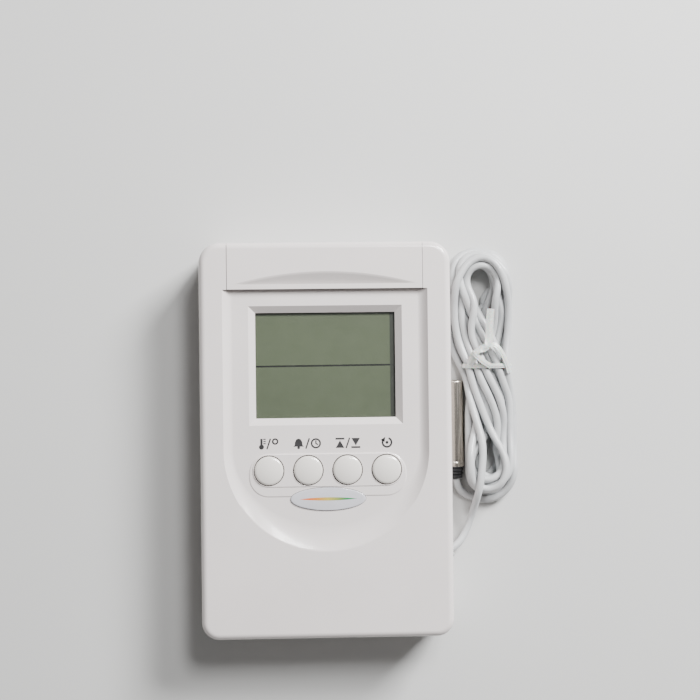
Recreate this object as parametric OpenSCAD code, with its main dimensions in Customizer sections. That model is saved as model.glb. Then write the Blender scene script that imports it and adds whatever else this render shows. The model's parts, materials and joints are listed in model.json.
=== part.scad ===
// Maximum minimum thermometer: a small indoor and outdoor digital thermometer with a probe on a cable.
// It lies on its back. +Z points out of the display, +Y to the unit's top edge and +X to the cable's side.
// The origin is the middle of the back face.

/* [Housing] */
// Width of the housing
body_w = 70; // [69:0.5:74]
// Height of the housing
body_h = 110; // [109:0.5:116]
// Depth of the housing, from the back face to the rim of the front
body_d = 20; // [19.6:0.2:22]
// Depth of the rear cover, up to the parting line
back_d = 9; // [8.6:0.2:9.2]
// Wall thickness of both covers
wall = 1.8; // [1.6:0.1:2]
// Corner radius at the top
corner_top = 5.8; // [5:0.2:7]
// Corner radius at the bottom
corner_bottom = 4.8; // [4:0.2:7]
// Rounding of the front rim
edge_r = 1.8; // [1:0.1:2.4]

/* [Front relief] */
// Width of the recessed dish
dish_w = 57; // [56:0.5:58]
// Depth of the dish below the rim
dish_depth = 1.6; // [1.2:0.1:1.8]
// Run of the dish's sloped wall at the sides
dish_side_run = 2.7; // [2:0.1:3]
// Run of the dish's sloped wall at the bottom
dish_end_run = 7.5; // [4:0.5:8]
// Rise of the raised pad around the buttons
pad_rise = 0.4; // [0.2:0.1:0.6]
// Width of the name badge
badge_w = 21; // [16:1:24]
// Height of the name badge
badge_h = 6.4; // [5:0.2:7]

/* [Display] */
// Width that shows of the display
view_w = 39; // [36:0.5:40]
// Height that shows of the display
view_h = 29.4; // [26:0.2:30]
// Run of the bevel around the display
bevel_run = 1.9; // [1:0.1:2.2]

/* [Buttons] */
// Diameter of a button cap
button_d = 8; // [7:0.1:8.4]
// Distance between buttons
button_pitch = 10.9; // [10.6:0.1:11.4]
// Radial gap around a cap
button_gap = 0.25; // [0.2:0.05:0.35]

/* [Battery] */
// Width of the battery door
door_w = 54.3; // [53.5:0.1:55]
// Height of the battery door
door_h = 13.1; // [12.9:0.1:13.5]
// Diameter of the battery (AAA)
battery_d = 10.5; // [9.8:0.1:10.5]
// Length of the battery with its nub (AAA)
battery_l = 44.5; // [43.3:0.1:44.5]

/* [Stand] */
// Width of the fold-out stand
stand_w = 30; // [24:1:34]
// Length of the fold-out stand
stand_l = 40; // [34:1:42]

/* [Probe and cable] */
// Diameter of the probe's tube
probe_d = 5; // [4.8:0.1:5]
// Length of the probe's tube
probe_l = 25; // [20:1:26]
// Diameter of the probe's cable
cord_d = 2.1; // [2:0.1:2.4]

/* [Hidden] */

$fn = 64;
tiny = 0.02;        // overlap that keeps a cut clean
top_y = body_h / 2;

// Heights through the front cover
dish_z = body_d - dish_depth;
under_z = dish_z - wall;        // underside of the dish's floor
pad_z = dish_z + pad_rise;
tongue_h = 1;                   // tongue of the rear cover inside the front cover
tongue_gap = 0.1;

// Dish: straight sides and a round lower end
dish_arc_y = -2.6;
dish_r = dish_w / 2;
door_y = top_y - door_h;        // lower edge of the door
dish_top_run = 0.3;

// Display stack, from the front to the board
display_y = 20.75;
window_t = 0.8;
gasket_t = 0.4;
film_t = 0.2;
glass_t = 0.7;
window_margin = 2;
ledge = 2.2;                    // contact ledge of the front glass, at the top and at the bottom
glass_margin = 0.9;
lcd_z = under_z - window_t - gasket_t;      // front of the display's first film
front_glass_z = lcd_z - film_t - glass_t;
rear_glass_z = front_glass_z - glass_t;
reflector_z = rear_glass_z - film_t;
glass_w = view_w + 2 * window_margin + 0.2;
rear_glass_h = view_h + 2 * glass_margin;
front_glass_h = rear_glass_h + 2 * ledge;
strip_t = 1.6;

// Circuit board
board_t = 1.2;
board_z = under_z - 5;          // front face of the board
board_back_z = board_z - board_t;
board_w = 52.6;
board_low_y = -27;
board_high_y = 39.4;
board_screw_x = 24.1;
board_screw_ys = [36.6, 1.2, -23.5];

// Buttons
button_x = 0.3;
button_y = -8.4;
button_edge_z = pad_z + 0.5;
button_dome = 0.6;
flange_r = 5;
flange_z = under_z - 1.1;       // underside of the flange that keeps a cap in
stem_z = under_z - 2.6;         // where a cap's stem meets its rubber dome
pad_w = 3 * button_pitch + 9.3;
pad_h = 9.3;
mat_t = 1;
badge_y = -16.4;

// Battery, lying across behind the door
battery_y = top_y - wall - 0.3 - battery_d / 2;
battery_z = body_d - wall - 0.7 - battery_d / 2;
tub_half = battery_l / 2 + 3.8;
tub_wall = 1.2;
tub_low_y = battery_y - battery_d / 2 - 0.35;
tub_high_y = top_y - wall - 0.25;
tub_floor_z = battery_z - battery_d / 2 - 0.3 - tub_wall;
plate_t = 0.4;
plate_w = 7.6;
dimple = 1.2;
battery_x1 = tub_half - plate_t - dimple;   // the positive end
battery_x0 = battery_x1 - battery_l;
spring_wire_r = 0.4;
spring_turns = 3;

// Battery door
door_gap = 0.12;
door_t = 1.8;
rail = 1;                       // how far a rail stands out at each side of the door
rail_w = 2.2;
rail_y = top_y - (door_h - 2) / 2 - 0.5;
crescent_deep = 1.3;
crescent_w = 51;
crescent_h = 3.5;
crescent_y = door_y + 1.4;

// Stand
stand_t = 2.2;
stand_gap = 0.3;
stand_y = 12;                   // upper end of the stand's recess
pivot_r = 1;
pivot_gap = 0.05;
pivot_len = 1.6;
barrel_r = 1.4;
pivot_y = stand_y - 2;
pivot_z = barrel_r + 0.2;
recess_z = 2 * barrel_r + 0.5;

// Screws
housing_screws_xy = [for (x = [-29.7, 29.7], y = [-48.4, 34]) [x, y]];
boss_r = 3;
housing_shank_r = 1.1;
housing_head_r = 2;
head_z = 3.4;                   // bearing face of a housing screw's head
board_shank_r = 0.9;
board_head_r = 1.7;
screw_gap = 0.05;

// Hanging slot in the rear cover
hang_y = 26;
hang_r = 3.5;
hang_slot_r = 1.8;
hang_slot_l = 7;

// Buzzer and vents
buzzer_pos = [12, -43];
buzzer_r = 8;
buzzer_z = wall + 1;

// Cable exit, in the right side wall
cord_r = cord_d / 2;
exit_turn = 30;
exit_y = -33.3;
exit_z = 4.2;
gland_r = 2.1;
exit_dir = [cos(exit_turn), sin(exit_turn), 0];
exit_at = [body_w / 2, exit_y, exit_z];
gland_out = 1.2;
gland_in = 3.4;
lead_from = exit_at - 0.8 * exit_dir;        // the free cable meets the inner one inside the gland
lead_out = exit_at + (gland_out + 0.4) * exit_dir;
tail_from = exit_at - gland_in * exit_dir;

// Probe, lying beside the housing
probe_x = body_w / 2 + 0.2 + probe_d / 2;
probe_y = 16;                   // closed end of the tube
seal_l = 3.5;
seal_y = probe_y - probe_l;

// Hank: two loops that meet at the tie
hank_h = 8;
hank_top = [45.4, 44.6, 9.4];   // x, y and radius of each round end and of the waist
hank_waist = [47, 20, 6.2];
hank_foot = [47.4, -7.5, 6.4];
tie_t = 0.5;
tie_w = 1.6;

// Routes of the free cable and of the wires inside
lead_route = [
    lead_from, lead_out, [39, -30.4, 3.8], [41, -27.2, 3.6], [42.4, -22.6, 4.4], [43.3, -17.8, 6.6],
    [43.9, -12.8, 8.6], [44.4, -7, 9.2], [44.5, -1, 9.2], [44.2, 5, 9.1], [43.2, 10, 8.6], [41.2, 15, 7.2],
    [39.2, 20, 5.2], [37.7, 25, 3], [36.7, 30, 1.6], [36.4, 35, 1.2]
];
end_route = [
    [probe_x, seal_y - seal_l, probe_d / 2], [probe_x, seal_y - seal_l - 1.4, 2.4], [39, -16.8, 1.6],
    [41.8, -18.3, 1.2], [45, -17.8, 1.2], [47.2, -16.2, 1.2], [48, -14, 1.2]
];
tail_route = [
    tail_from, tail_from - 2 * exit_dir, [26.5, -37, 4.6], [22.6, -33, 6], [21, -27, 7.4],
    [20.8, -25, 8.8], [20.8, -25, board_back_z]
];
red_route = [
    [tub_half - 0.3, battery_y - 2, battery_z - 2.5], [tub_half + 1.4, battery_y - 2, battery_z - 2.5],
    [tub_half + 2.9, battery_y - 6, 8], [25.6, 37, 7.2], [19, 34.5, 7.4],
    [17, 33.2, 8.8], [17, 33.2, board_back_z]
];
black_route = [
    [0.3 - tub_half, battery_y - 2, battery_z - 2.5], [-tub_half - 1.4, battery_y - 2, battery_z - 2.5],
    [-tub_half - 2.9, battery_y - 6, 8], [-25.6, 37, 7.2], [-19, 34.5, 7.4], [-17, 33.2, 8.8],
    [-17, 33.2, board_back_z]
];
buzzer_route = [
    [8.2, -39.8, buzzer_z + 0.98], [6, -35, 5], [4, -29.5, 7], [3.6, -24.6, 8.8], [3.6, -24.6, board_back_z]
];

// ---- helpers ----

function unit(v) = v / norm(v);

// A point on a smooth curve through all of the points, a share t of the way from point i to the next one
function curve_point(p, i, t) =
    let (a = p[max(i - 1, 0)], b = p[i], c = p[i + 1], d = p[min(i + 2, len(p) - 1)])
    0.5 * (2 * b + (c - a) * t + (2 * a - 5 * b + 4 * c - d) * t * t + (3 * b - a - 3 * c + d) * t * t * t);

function curve(p, steps) = concat(
    [for (i = [0:len(p) - 2], k = [0:steps - 1]) curve_point(p, i, k / steps)],
    [p[len(p) - 1]]
);

// A round tube swept along points. up is a direction that the route never runs along.
module tube_along(points, r, up = [0.05, 0.02, 1], sides = 8) {
    last = len(points) - 1;
    corners = [
        for (i = [0:last])
            let (
                ahead = unit(points[min(i + 1, last)] - points[max(i - 1, 0)]),
                side = unit(cross(ahead, up)),
                over = cross(side, ahead)
            )
            for (k = [0:sides - 1])
                points[i] + r * (cos(360 * k / sides) * side + sin(360 * k / sides) * over)
    ];
    skin = [
        for (i = [0:last - 1], k = [0:sides - 1])
            let (a = i * sides + k, b = i * sides + (k + 1) % sides)
            each [[a, b, b + sides], [a, b + sides, a + sides]]
    ];
    ends = [[for (k = [sides - 1:-1:0]) k], [for (k = [0:sides - 1]) last * sides + k]];
    polyhedron(corners, concat(skin, ends));
}

// The housing's outline, moved in by inset
module outline(inset = 0) {
    w = body_w - 2 * inset;
    h = body_h - 2 * inset;
    top_r = max(corner_top - inset, 1);
    low_r = max(corner_bottom - inset, 1);
    translate([-w / 2, -h / 2 + low_r]) square([w, h - top_r - low_r]);
    translate([-w / 2 + top_r, h / 2 - top_r - tiny]) square([w - 2 * top_r, top_r + tiny]);
    translate([-w / 2 + low_r, -h / 2]) square([w - 2 * low_r, low_r + tiny]);
    for (side = [-1, 1]) {
        translate([side * (w / 2 - top_r), h / 2 - top_r]) circle(top_r);
        translate([side * (w / 2 - low_r), -h / 2 + low_r]) circle(low_r);
    }
}

// A slab of the housing's outline with a rounded edge at z1
module rounded_slab(z0, z1, round_r) {
    hull()
        for (side = [-1, 1], end = [-1, 1]) {
            r = end > 0 ? corner_top : corner_bottom;
            translate([side * (body_w / 2 - r), end * (body_h / 2 - r), 0])
                rotate_extrude($fn = 40)
                    polygon(concat(
                        [[0, z0], [r, z0]],
                        [
                            for (a = [0:15:90])
                                [r - round_r * (1 - cos(a)), z1 - round_r * (1 - sin(a))]
                        ],
                        [[0, z1]]
                    ));
        }
}

// The dish's outline: half width hw, round lower end of depth end_h, up to y1
module dish_outline(hw, end_h, y1) {
    translate([-hw, dish_arc_y]) square([2 * hw, y1 - dish_arc_y]);
    translate([0, dish_arc_y]) scale([1, end_h / hw]) circle(hw, $fn = 96);
}

module stadium(w, h) {
    square([w - h, h], center = true);
    for (side = [-1, 1]) translate([side * (w - h) / 2, 0]) circle(h / 2);
}

module at_buttons()
    for (i = [0:3]) translate([button_x + (i - 1.5) * button_pitch, button_y, 0]) children();

module at_board_screws()
    for (side = [-1, 1], y = board_screw_ys) translate([side * board_screw_x, y, 0]) children();

module at_housing_screws()
    for (p = housing_screws_xy) translate([p[0], p[1], 0]) children();

// The middle of each rail of the battery door
module at_rails()
    for (side = [-1, 1])
        translate([side * (door_w / 2 + rail - rail_w / 2), rail_y, body_d - door_t - rail / 2]) children();

// ---- housing ----

module front_cover() color([0.93, 0.91, 0.92])
    difference() {
        union() {
            difference() {
                rounded_slab(back_d, body_d, edge_r);
                translate([0, 0, back_d - 1]) linear_extrude(under_z - back_d + 1) outline(wall);
                // rebate for the rear cover's tongue
                translate([0, 0, back_d - 1]) linear_extrude(tongue_h + 1 + tongue_gap)
                    outline(wall / 2 - tongue_gap);
                // dish with sloped walls
                hull() {
                    translate([0, 0, body_d]) linear_extrude(1)
                        dish_outline(dish_r, dish_r, door_y);
                    translate([0, 0, dish_z]) linear_extrude(tiny)
                        dish_outline(dish_r - dish_side_run, dish_r - dish_end_run, door_y - dish_top_run);
                }
            }
            // raised pad around the buttons
            translate([button_x, button_y, under_z]) linear_extrude(pad_z - under_z) stadium(pad_w, pad_h);
            // battery tub
            translate([-tub_half - tub_wall, tub_low_y - tub_wall, tub_floor_z])
                cube([
                    2 * (tub_half + tub_wall), tub_high_y - tub_low_y + tub_wall, body_d - wall - tub_floor_z
                ]);
            // posts for the board and bosses for the housing screws
            at_board_screws() translate([0, 0, board_z]) cylinder(h = under_z - board_z + tiny, r = 2.1);
            at_housing_screws() translate([0, 0, back_d + tongue_gap])
                cylinder(h = under_z - back_d, r = boss_r);
            // ribs that hold the display's sides
            for (side = [-1, 1])
                translate([side * (glass_w / 2 + 0.7) - 0.5, display_y - 9, rear_glass_z])
                    cube([1, 18, under_z - rear_glass_z + tiny]);
        }
        // display opening and its bevel
        translate([-view_w / 2, display_y - view_h / 2, under_z - 1]) cube([view_w, view_h, 3]);
        hull() {
            translate([0, display_y, dish_z]) linear_extrude(tiny)
                square([view_w + 2 * bevel_run, view_h + 2 * bevel_run], center = true);
            translate([0, display_y, under_z + 0.3]) linear_extrude(tiny)
                square([view_w, view_h], center = true);
        }
        // button holes
        at_buttons() translate([0, 0, under_z - 1]) cylinder(h = 4, r = button_d / 2 + button_gap);
        // seat of the name badge
        translate([button_x, badge_y, dish_z - 0.4]) linear_extrude(2)
            scale([1, badge_h / badge_w]) circle(badge_w / 2 + 0.1);
        // battery well, round below and open to the front
        translate([-tub_half, battery_y, battery_z]) rotate([0, 90, 0])
            cylinder(h = 2 * tub_half, r = battery_d / 2 + 0.3);
        translate([-tub_half, tub_low_y, battery_z])
            cube([2 * tub_half, top_y - wall - tub_low_y, body_d - battery_z + 1]);
        // seat of the door and the grooves of its rails
        translate([-door_w / 2 - door_gap, door_y - door_gap, body_d - door_t - door_gap])
            cube([door_w + 2 * door_gap, door_h + 5, door_t + 2]);
        at_rails() translate([0, 5, 0])
            cube([rail_w + 2 * door_gap, door_h + 10, rail + 2 * door_gap], center = true);
        // passages for the battery leads
        translate([-tub_half - 2, battery_y - 2, battery_z - 2.5]) rotate([0, 90, 0])
            cylinder(h = 2 * tub_half + 4, r = 0.9, $fn = 24);
        // pilot holes
        at_board_screws() translate([0, 0, board_z - 1]) cylinder(h = 5, r = board_shank_r + screw_gap);
        at_housing_screws() translate([0, 0, back_d - 1]) cylinder(h = 6.4, r = housing_shank_r + screw_gap);
    }

module rear_cover() color([0.91, 0.89, 0.9])
    difference() {
        union() {
            difference() {
                union() {
                    translate([0, 0, back_d]) mirror([0, 0, 1]) rounded_slab(0, back_d, 1.2);
                    translate([0, 0, back_d - tiny]) linear_extrude(tongue_h + tiny) outline(wall / 2);
                }
                translate([0, 0, wall]) linear_extrude(back_d + tongue_h) outline(wall);
            }
            // roof over the stand's recess
            translate([-stand_w / 2 - wall - 2, stand_y - stand_l - wall, wall - tiny])
                cube([stand_w + 2 * wall + 4, stand_l + 2 * wall, recess_z]);
            // screw bosses
            at_housing_screws() translate([0, 0, wall - tiny]) cylinder(h = back_d - wall, r = boss_r);
            // ring that carries the buzzer disc
            translate([buzzer_pos[0], buzzer_pos[1], wall - tiny])
                cylinder(h = buzzer_z - wall + tiny, r = buzzer_r);
            // seat of the cable gland
            intersection() {
                translate(exit_at) rotate([0, 90, exit_turn]) translate([0, 0, 0.8 - gland_in])
                    cylinder(h = 8, r = 4);
                linear_extrude(back_d) outline(0.5);
            }
        }
        // stand recess, its pivot holes and the finger notch below it
        translate([-stand_w / 2, stand_y - stand_l, -1]) cube([stand_w, stand_l, recess_z + 1]);
        translate([-stand_w / 2 - pivot_len - 0.2, pivot_y, pivot_z]) rotate([0, 90, 0])
            cylinder(h = stand_w + 2 * pivot_len + 0.4, r = pivot_r + pivot_gap);
        translate([0, stand_y - stand_l, -8]) sphere(10);
        // screw holes with deep seats for the heads
        at_housing_screws() {
            translate([0, 0, -1]) cylinder(h = back_d + 1, r = housing_shank_r + 0.2);
            translate([0, 0, -1]) cylinder(h = head_z + 1, r = housing_head_r + 0.3);
        }
        // hanging slot
        translate([0, hang_y, -1]) cylinder(h = wall + 2, r = hang_r);
        translate([-hang_slot_r, hang_y, -1]) cube([2 * hang_slot_r, hang_slot_l, wall + 2]);
        translate([0, hang_y + hang_slot_l, -1]) cylinder(h = wall + 2, r = hang_slot_r);
        // sound holes, with an open space under the disc
        translate([buzzer_pos[0], buzzer_pos[1], wall]) cylinder(h = 2, r = buzzer_r - 1.4);
        translate([buzzer_pos[0], buzzer_pos[1], -1]) {
            cylinder(h = 4, r = 0.7, $fn = 24);
            for (a = [0:60:300]) rotate(a) translate([3, 0, 0]) cylinder(h = 4, r = 0.7, $fn = 24);
        }
        // air slots for the indoor sensor, in the left side wall
        for (i = [0:4]) translate([-body_w / 2 - 1, -34 + 3 * i, 4.2]) cube([wall + 2, 1.2, 3]);
        // cable exit, wider inside for the gland's flange
        translate(exit_at) rotate([0, 90, exit_turn]) {
            translate([0, 0, -8]) cylinder(h = 12, r = gland_r + 0.05);
            translate([0, 0, -8]) cylinder(h = 8.8 - gland_in, r = gland_r + 1);
        }
    }

module battery_door() color([0.93, 0.91, 0.92])
    difference() {
        union() {
            intersection() {
                rounded_slab(back_d, body_d, edge_r);
                translate([-door_w / 2, door_y, body_d - door_t]) cube([door_w, door_h + 1, door_t + 1]);
            }
            // rails that run in the front cover's grooves
            at_rails() cube([rail_w, door_h - 2, rail + tiny], center = true);
        }
        // crescent that the thumb pushes on
        intersection() {
            arc_r = (pow(crescent_w / 2, 2) + pow(crescent_h, 2)) / (2 * crescent_h);
            translate([0, crescent_y + crescent_h - arc_r, body_d - crescent_deep])
                cylinder(h = crescent_deep + tiny, r1 = arc_r - crescent_h, r2 = arc_r + tiny, $fn = 240);
            translate([-crescent_w / 2, crescent_y, body_d - 3]) cube([crescent_w, 6, 6]);
        }
    }

module stand() color([0.9, 0.88, 0.89]) {
    low_y = stand_y - stand_l + stand_gap;
    difference() {
        translate([-stand_w / 2 + stand_gap, low_y, 0.1])
            cube([stand_w - 2 * stand_gap, pivot_y - low_y, stand_t]);
        // shallow panel that thins the middle of the outer face
        translate([-stand_w / 2 + 4, low_y + 7, -1]) cube([stand_w - 8, stand_l - 14, 1.8]);
    }
    translate([-stand_w / 2 + stand_gap, pivot_y, pivot_z]) rotate([0, 90, 0])
        cylinder(h = stand_w - 2 * stand_gap, r = barrel_r);
    // pivots at both ends of the barrel
    translate([-stand_w / 2 - pivot_len, pivot_y, pivot_z]) rotate([0, 90, 0])
        cylinder(h = stand_w + 2 * pivot_len, r = pivot_r);
}

module name_badge() color([0.86, 0.87, 0.9])
    translate([button_x, badge_y, dish_z - 0.35]) linear_extrude(0.75)
        scale([1, badge_h / badge_w]) circle(badge_w / 2);

// ---- display ----

module display_window() color([0.9, 0.95, 0.95, 0.4])
    translate([-view_w / 2 - window_margin, display_y - view_h / 2 - window_margin, under_z - window_t])
        cube([view_w + 2 * window_margin, view_h + 2 * window_margin, window_t]);

module display_gasket() color([0.15, 0.15, 0.15])
    translate([0, display_y, lcd_z]) linear_extrude(gasket_t) difference() {
        square([view_w + 2.4, rear_glass_h], center = true);
        square([view_w + 0.4, view_h + 0.4], center = true);
    }

module display_layer(w, h, z, t)
    translate([-w / 2, display_y - h / 2, z]) cube([w, h, t]);

module lcd_front_polariser() color([0.5, 0.53, 0.47])
    display_layer(glass_w - 1, rear_glass_h - 0.4, front_glass_z + glass_t, film_t);

module lcd_front_glass() color([0.6, 0.68, 0.62])
    display_layer(glass_w, front_glass_h, front_glass_z, glass_t);

module lcd_rear_glass() color([0.55, 0.62, 0.56])
    display_layer(glass_w, rear_glass_h, rear_glass_z, glass_t);

module lcd_reflector() color([0.75, 0.76, 0.72])
    display_layer(glass_w - 1, rear_glass_h - 0.4, reflector_z, film_t);

// Rubber strip of conducting layers between a ledge of the display and the board
module contact_strip(side) color([0.85, 0.45, 0.5])
    translate([-20, display_y + side * (front_glass_h / 2 - ledge / 2) - strip_t / 2, board_z])
        cube([40, strip_t, front_glass_z - board_z]);

module contact_strip_upper() contact_strip(1);

module contact_strip_lower() contact_strip(-1);

// ---- electronics ----

module circuit_board() color([0.1, 0.42, 0.2])
    difference() {
        translate([-board_w / 2, board_low_y, board_back_z])
            cube([board_w, board_high_y - board_low_y, board_t]);
        at_board_screws() translate([0, 0, board_back_z - 1])
            cylinder(h = board_t + 2, r = board_shank_r + 0.2);
    }

module chip_cover() color([0.06, 0.06, 0.07])
    intersection() {
        translate([-2, 14, board_back_z + 15.8]) sphere(18, $fn = 96);
        translate([-12, 4, board_back_z - 3]) cube([20, 20, 3]);
    }

module crystal() color([0.75, 0.76, 0.78]) {
    translate([14, -1, board_back_z - 1.1]) rotate([-90, 0, 0]) cylinder(h = 6, r = 1, $fn = 32);
    for (side = [-1, 1])
        translate([14 + 0.4 * side, -3.4, board_back_z - 1.1]) rotate([-90, 0, 0])
            cylinder(h = 2.5, r = 0.15, $fn = 16);
    for (side = [-1, 1])
        translate([14 + 0.4 * side, -3.4, board_back_z - 1.2]) cylinder(h = 1.2, r = 0.15, $fn = 16);
}

module chip_row(x, y, count, step, size)
    for (i = [0:count - 1])
        translate([x, y + i * step, board_back_z - size[2]]) cube(size);

module resistors() color([0.12, 0.12, 0.13]) chip_row(-18, -14, 6, 3.4, [2, 1.25, 0.5]);

module capacitors() color([0.62, 0.5, 0.36]) chip_row(9.5, -18, 4, 3.4, [2, 1.25, 0.9]);

module indoor_sensor() color([0.05, 0.05, 0.05]) {
    translate([-21.6, -25.8, 5.6]) sphere(1.2, $fn = 32);
    for (side = [-1, 1])
        translate([-21.6 + 0.6 * side, -25.8, 5.8]) cylinder(h = board_back_z - 5.8, r = 0.2, $fn = 16);
}

module keypad_mat() color([0.78, 0.78, 0.76]) {
    difference() {
        translate([button_x, button_y, board_z]) linear_extrude(mat_t) stadium(pad_w, 11.4);
        at_buttons() translate([0, 0, board_z - 1]) cylinder(h = 3, r = 3.2);
    }
    // a dome under each cap
    at_buttons() translate([0, 0, board_z + mat_t]) rotate_extrude()
        polygon([[3.2, -tiny], [4.2, -tiny], [4.2, 0], [2.7, 1.4], [0, 1.4], [0, 0.7], [1.9, 0.7]]);
}

// Cap number i of the row, with the flange that keeps it in and the stem that meets its dome
module button_cap(i) color([0.92, 0.9, 0.86])
    translate([button_x + (i - 1.5) * button_pitch, button_y, 0]) {
        crown_r = (pow(button_d / 2, 2) + pow(button_dome, 2)) / (2 * button_dome);
        translate([0, 0, under_z - 0.2]) cylinder(h = button_edge_z - under_z + 0.2, r = button_d / 2);
        translate([0, 0, flange_z]) cylinder(h = 1, r = flange_r);
        translate([0, 0, stem_z]) cylinder(h = flange_z - stem_z + tiny, r = 2.4);
        intersection() {
            translate([0, 0, button_edge_z + button_dome - crown_r]) sphere(crown_r, $fn = 128);
            translate([0, 0, button_edge_z - tiny]) cylinder(h = 2, r = button_d / 2);
        }
    }

module units_button() button_cap(0);

module alert_button() button_cap(1);

module max_min_button() button_cap(2);

module reset_button() button_cap(3);

// Conducting rubber pill under a dome, which closes two tracks on the board
module contact_pill(i) color([0.08, 0.08, 0.08])
    translate([button_x + (i - 1.5) * button_pitch, button_y, board_z + 1.1]) cylinder(h = 0.6, r = 1.5);

module units_pill() contact_pill(0);

module alert_pill() contact_pill(1);

module max_min_pill() contact_pill(2);

module reset_pill() contact_pill(3);

// ---- battery ----

module battery() color([0.12, 0.22, 0.55])
    translate([battery_x0, battery_y, battery_z]) rotate([0, 90, 0]) {
        cylinder(h = battery_l - 0.9, r = battery_d / 2 - 0.05);
        cylinder(h = battery_l, r = 1.9);
    }

module battery_spring() color([0.75, 0.75, 0.77]) {
    turn_steps = 16;
    length = battery_x0 + tub_half - plate_t - spring_wire_r;
    coil = [
        for (i = [0:spring_turns * turn_steps])
            let (a = 360 * i / turn_steps, r = 3.8 - 1.4 * i / (spring_turns * turn_steps))
            [
                -tub_half + plate_t + length * i / (spring_turns * turn_steps),
                battery_y + r * cos(a),
                battery_z + r * sin(a)
            ]
    ];
    tube_along(coil, spring_wire_r, up = [1, 0, 0], sides = 6);
    translate([-tub_half + 0.02, battery_y - plate_w / 2, battery_z - plate_w / 2])
        cube([plate_t, plate_w, plate_w]);
}

module battery_contact() color([0.78, 0.78, 0.8]) {
    translate([tub_half - plate_t - 0.02, battery_y - plate_w / 2, battery_z - plate_w / 2])
        cube([plate_t, plate_w, plate_w]);
    translate([tub_half - plate_t - dimple + 0.02, battery_y, battery_z]) rotate([0, 90, 0])
        cylinder(h = dimple, r1 = 1.6, r2 = 2.4);
}

module battery_lead_red() color([0.75, 0.1, 0.1])
    tube_along(curve(red_route, 3), 0.5, up = [0.1, 1, 0.2], sides = 6);

module battery_lead_black() color([0.08, 0.08, 0.08])
    tube_along(curve(black_route, 3), 0.5, up = [0.1, 1, 0.2], sides = 6);

// ---- buzzer ----

module buzzer_disc() color([0.78, 0.62, 0.28])
    translate([buzzer_pos[0], buzzer_pos[1], buzzer_z]) cylinder(h = 0.3, r = buzzer_r - 0.3);

module buzzer_ceramic() color([0.88, 0.86, 0.8])
    translate([buzzer_pos[0], buzzer_pos[1], buzzer_z + 0.3]) cylinder(h = 0.25, r = buzzer_r - 2.6);

module buzzer_leads() color([0.75, 0.72, 0.1])
    for (offset = [0, 2.6])
        translate([offset, 0, 0]) tube_along(curve(buzzer_route, 3), 0.4, up = [1, 0, 0.1], sides = 6);

// ---- fasteners ----

module screw(head_r, head_h, shank_r, shank_l) {
    difference() {
        cylinder(h = head_h, r = head_r);
        // cross recess
        for (turn = [0, 90]) rotate(turn) translate([-head_r * 0.6, -head_r * 0.13, -tiny])
            cube([head_r * 1.2, head_r * 0.26, head_h * 0.6]);
    }
    translate([0, 0, head_h - tiny]) cylinder(h = shank_l, r = shank_r);
    translate([0, 0, head_h + shank_l - 2 * tiny]) cylinder(h = 0.8, r1 = shank_r, r2 = shank_r * 0.4);
}

module housing_screws() color([0.7, 0.7, 0.72])
    at_housing_screws() translate([0, 0, head_z - 1.4]) screw(housing_head_r, 1.4, housing_shank_r, 9.6);

module board_screws() color([0.7, 0.7, 0.72])
    at_board_screws() translate([0, 0, board_back_z - 1.2]) screw(board_head_r, 1.2, board_shank_r, 3.8);

// ---- cable and probe ----

module cable_gland() color([0.9, 0.9, 0.9])
    translate(exit_at) rotate([0, 90, exit_turn])
        difference() {
            union() {
                translate([0, 0, -gland_in]) cylinder(h = gland_in + gland_out, r = gland_r);
                translate([0, 0, -gland_in]) cylinder(h = 0.8, r = gland_r + 0.9);
            }
            translate([0, 0, -gland_in - 1]) cylinder(h = gland_in + gland_out + 2, r = cord_r + 0.05);
        }

module cable_tail() color([0.95, 0.95, 0.95])
    tube_along(curve(concat([lead_from], tail_route), 3), cord_r);

module cable_stop() color([0.15, 0.15, 0.15])
    translate(tail_from - 1.6 * exit_dir) rotate([0, 90, exit_turn])
        difference() {
            cylinder(h = 1.6, r = 2.6);
            translate([0, 0, -1]) cylinder(h = 4, r = cord_r);
        }

module cord_lead() color([0.96, 0.96, 0.96])
    tube_along(curve(lead_route, 2), cord_r);

module cord_end() color([0.96, 0.96, 0.96])
    tube_along(curve(end_route, 2), cord_r);

module cord_hank() color([0.95, 0.95, 0.95])
    linear_extrude(hank_h) {
        hull() {
            translate([hank_top[0], hank_top[1]]) circle(hank_top[2]);
            translate([hank_waist[0], hank_waist[1]]) circle(hank_waist[2]);
        }
        hull() {
            translate([hank_waist[0], hank_waist[1]]) circle(hank_waist[2]);
            translate([hank_foot[0], hank_foot[1]]) circle(hank_foot[2]);
        }
    }

module cord_tie() color([0.9, 0.92, 0.9])
    translate([hank_waist[0], hank_waist[1], 0]) {
        translate([-hank_waist[2] - 0.2, -tie_w / 2, 0]) difference() {
            cube([2 * hank_waist[2] + 0.4, tie_w, hank_h + tie_t]);
            translate([tie_t, -1, tie_t])
                cube([2 * hank_waist[2] + 0.4 - 2 * tie_t, tie_w + 2, hank_h - tie_t]);
        }
        // twisted ends
        translate([-1, -tie_w / 2, hank_h]) cube([2.2, 11, 1.4]);
    }

module probe_tube() color([0.75, 0.73, 0.7])
    translate([probe_x, seal_y, probe_d / 2]) rotate([-90, 0, 0])
        difference() {
            rotate_extrude() polygon(concat(
                [[0, 0], [probe_d / 2, 0]],
                [for (a = [0:22.5:90]) [probe_d / 2 - 0.6 + 0.6 * cos(a), probe_l - 0.6 + 0.6 * sin(a)]],
                [[0, probe_l]]
            ));
            translate([0, 0, -1]) cylinder(h = probe_l, r = probe_d / 2 - 0.35);
        }

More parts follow.
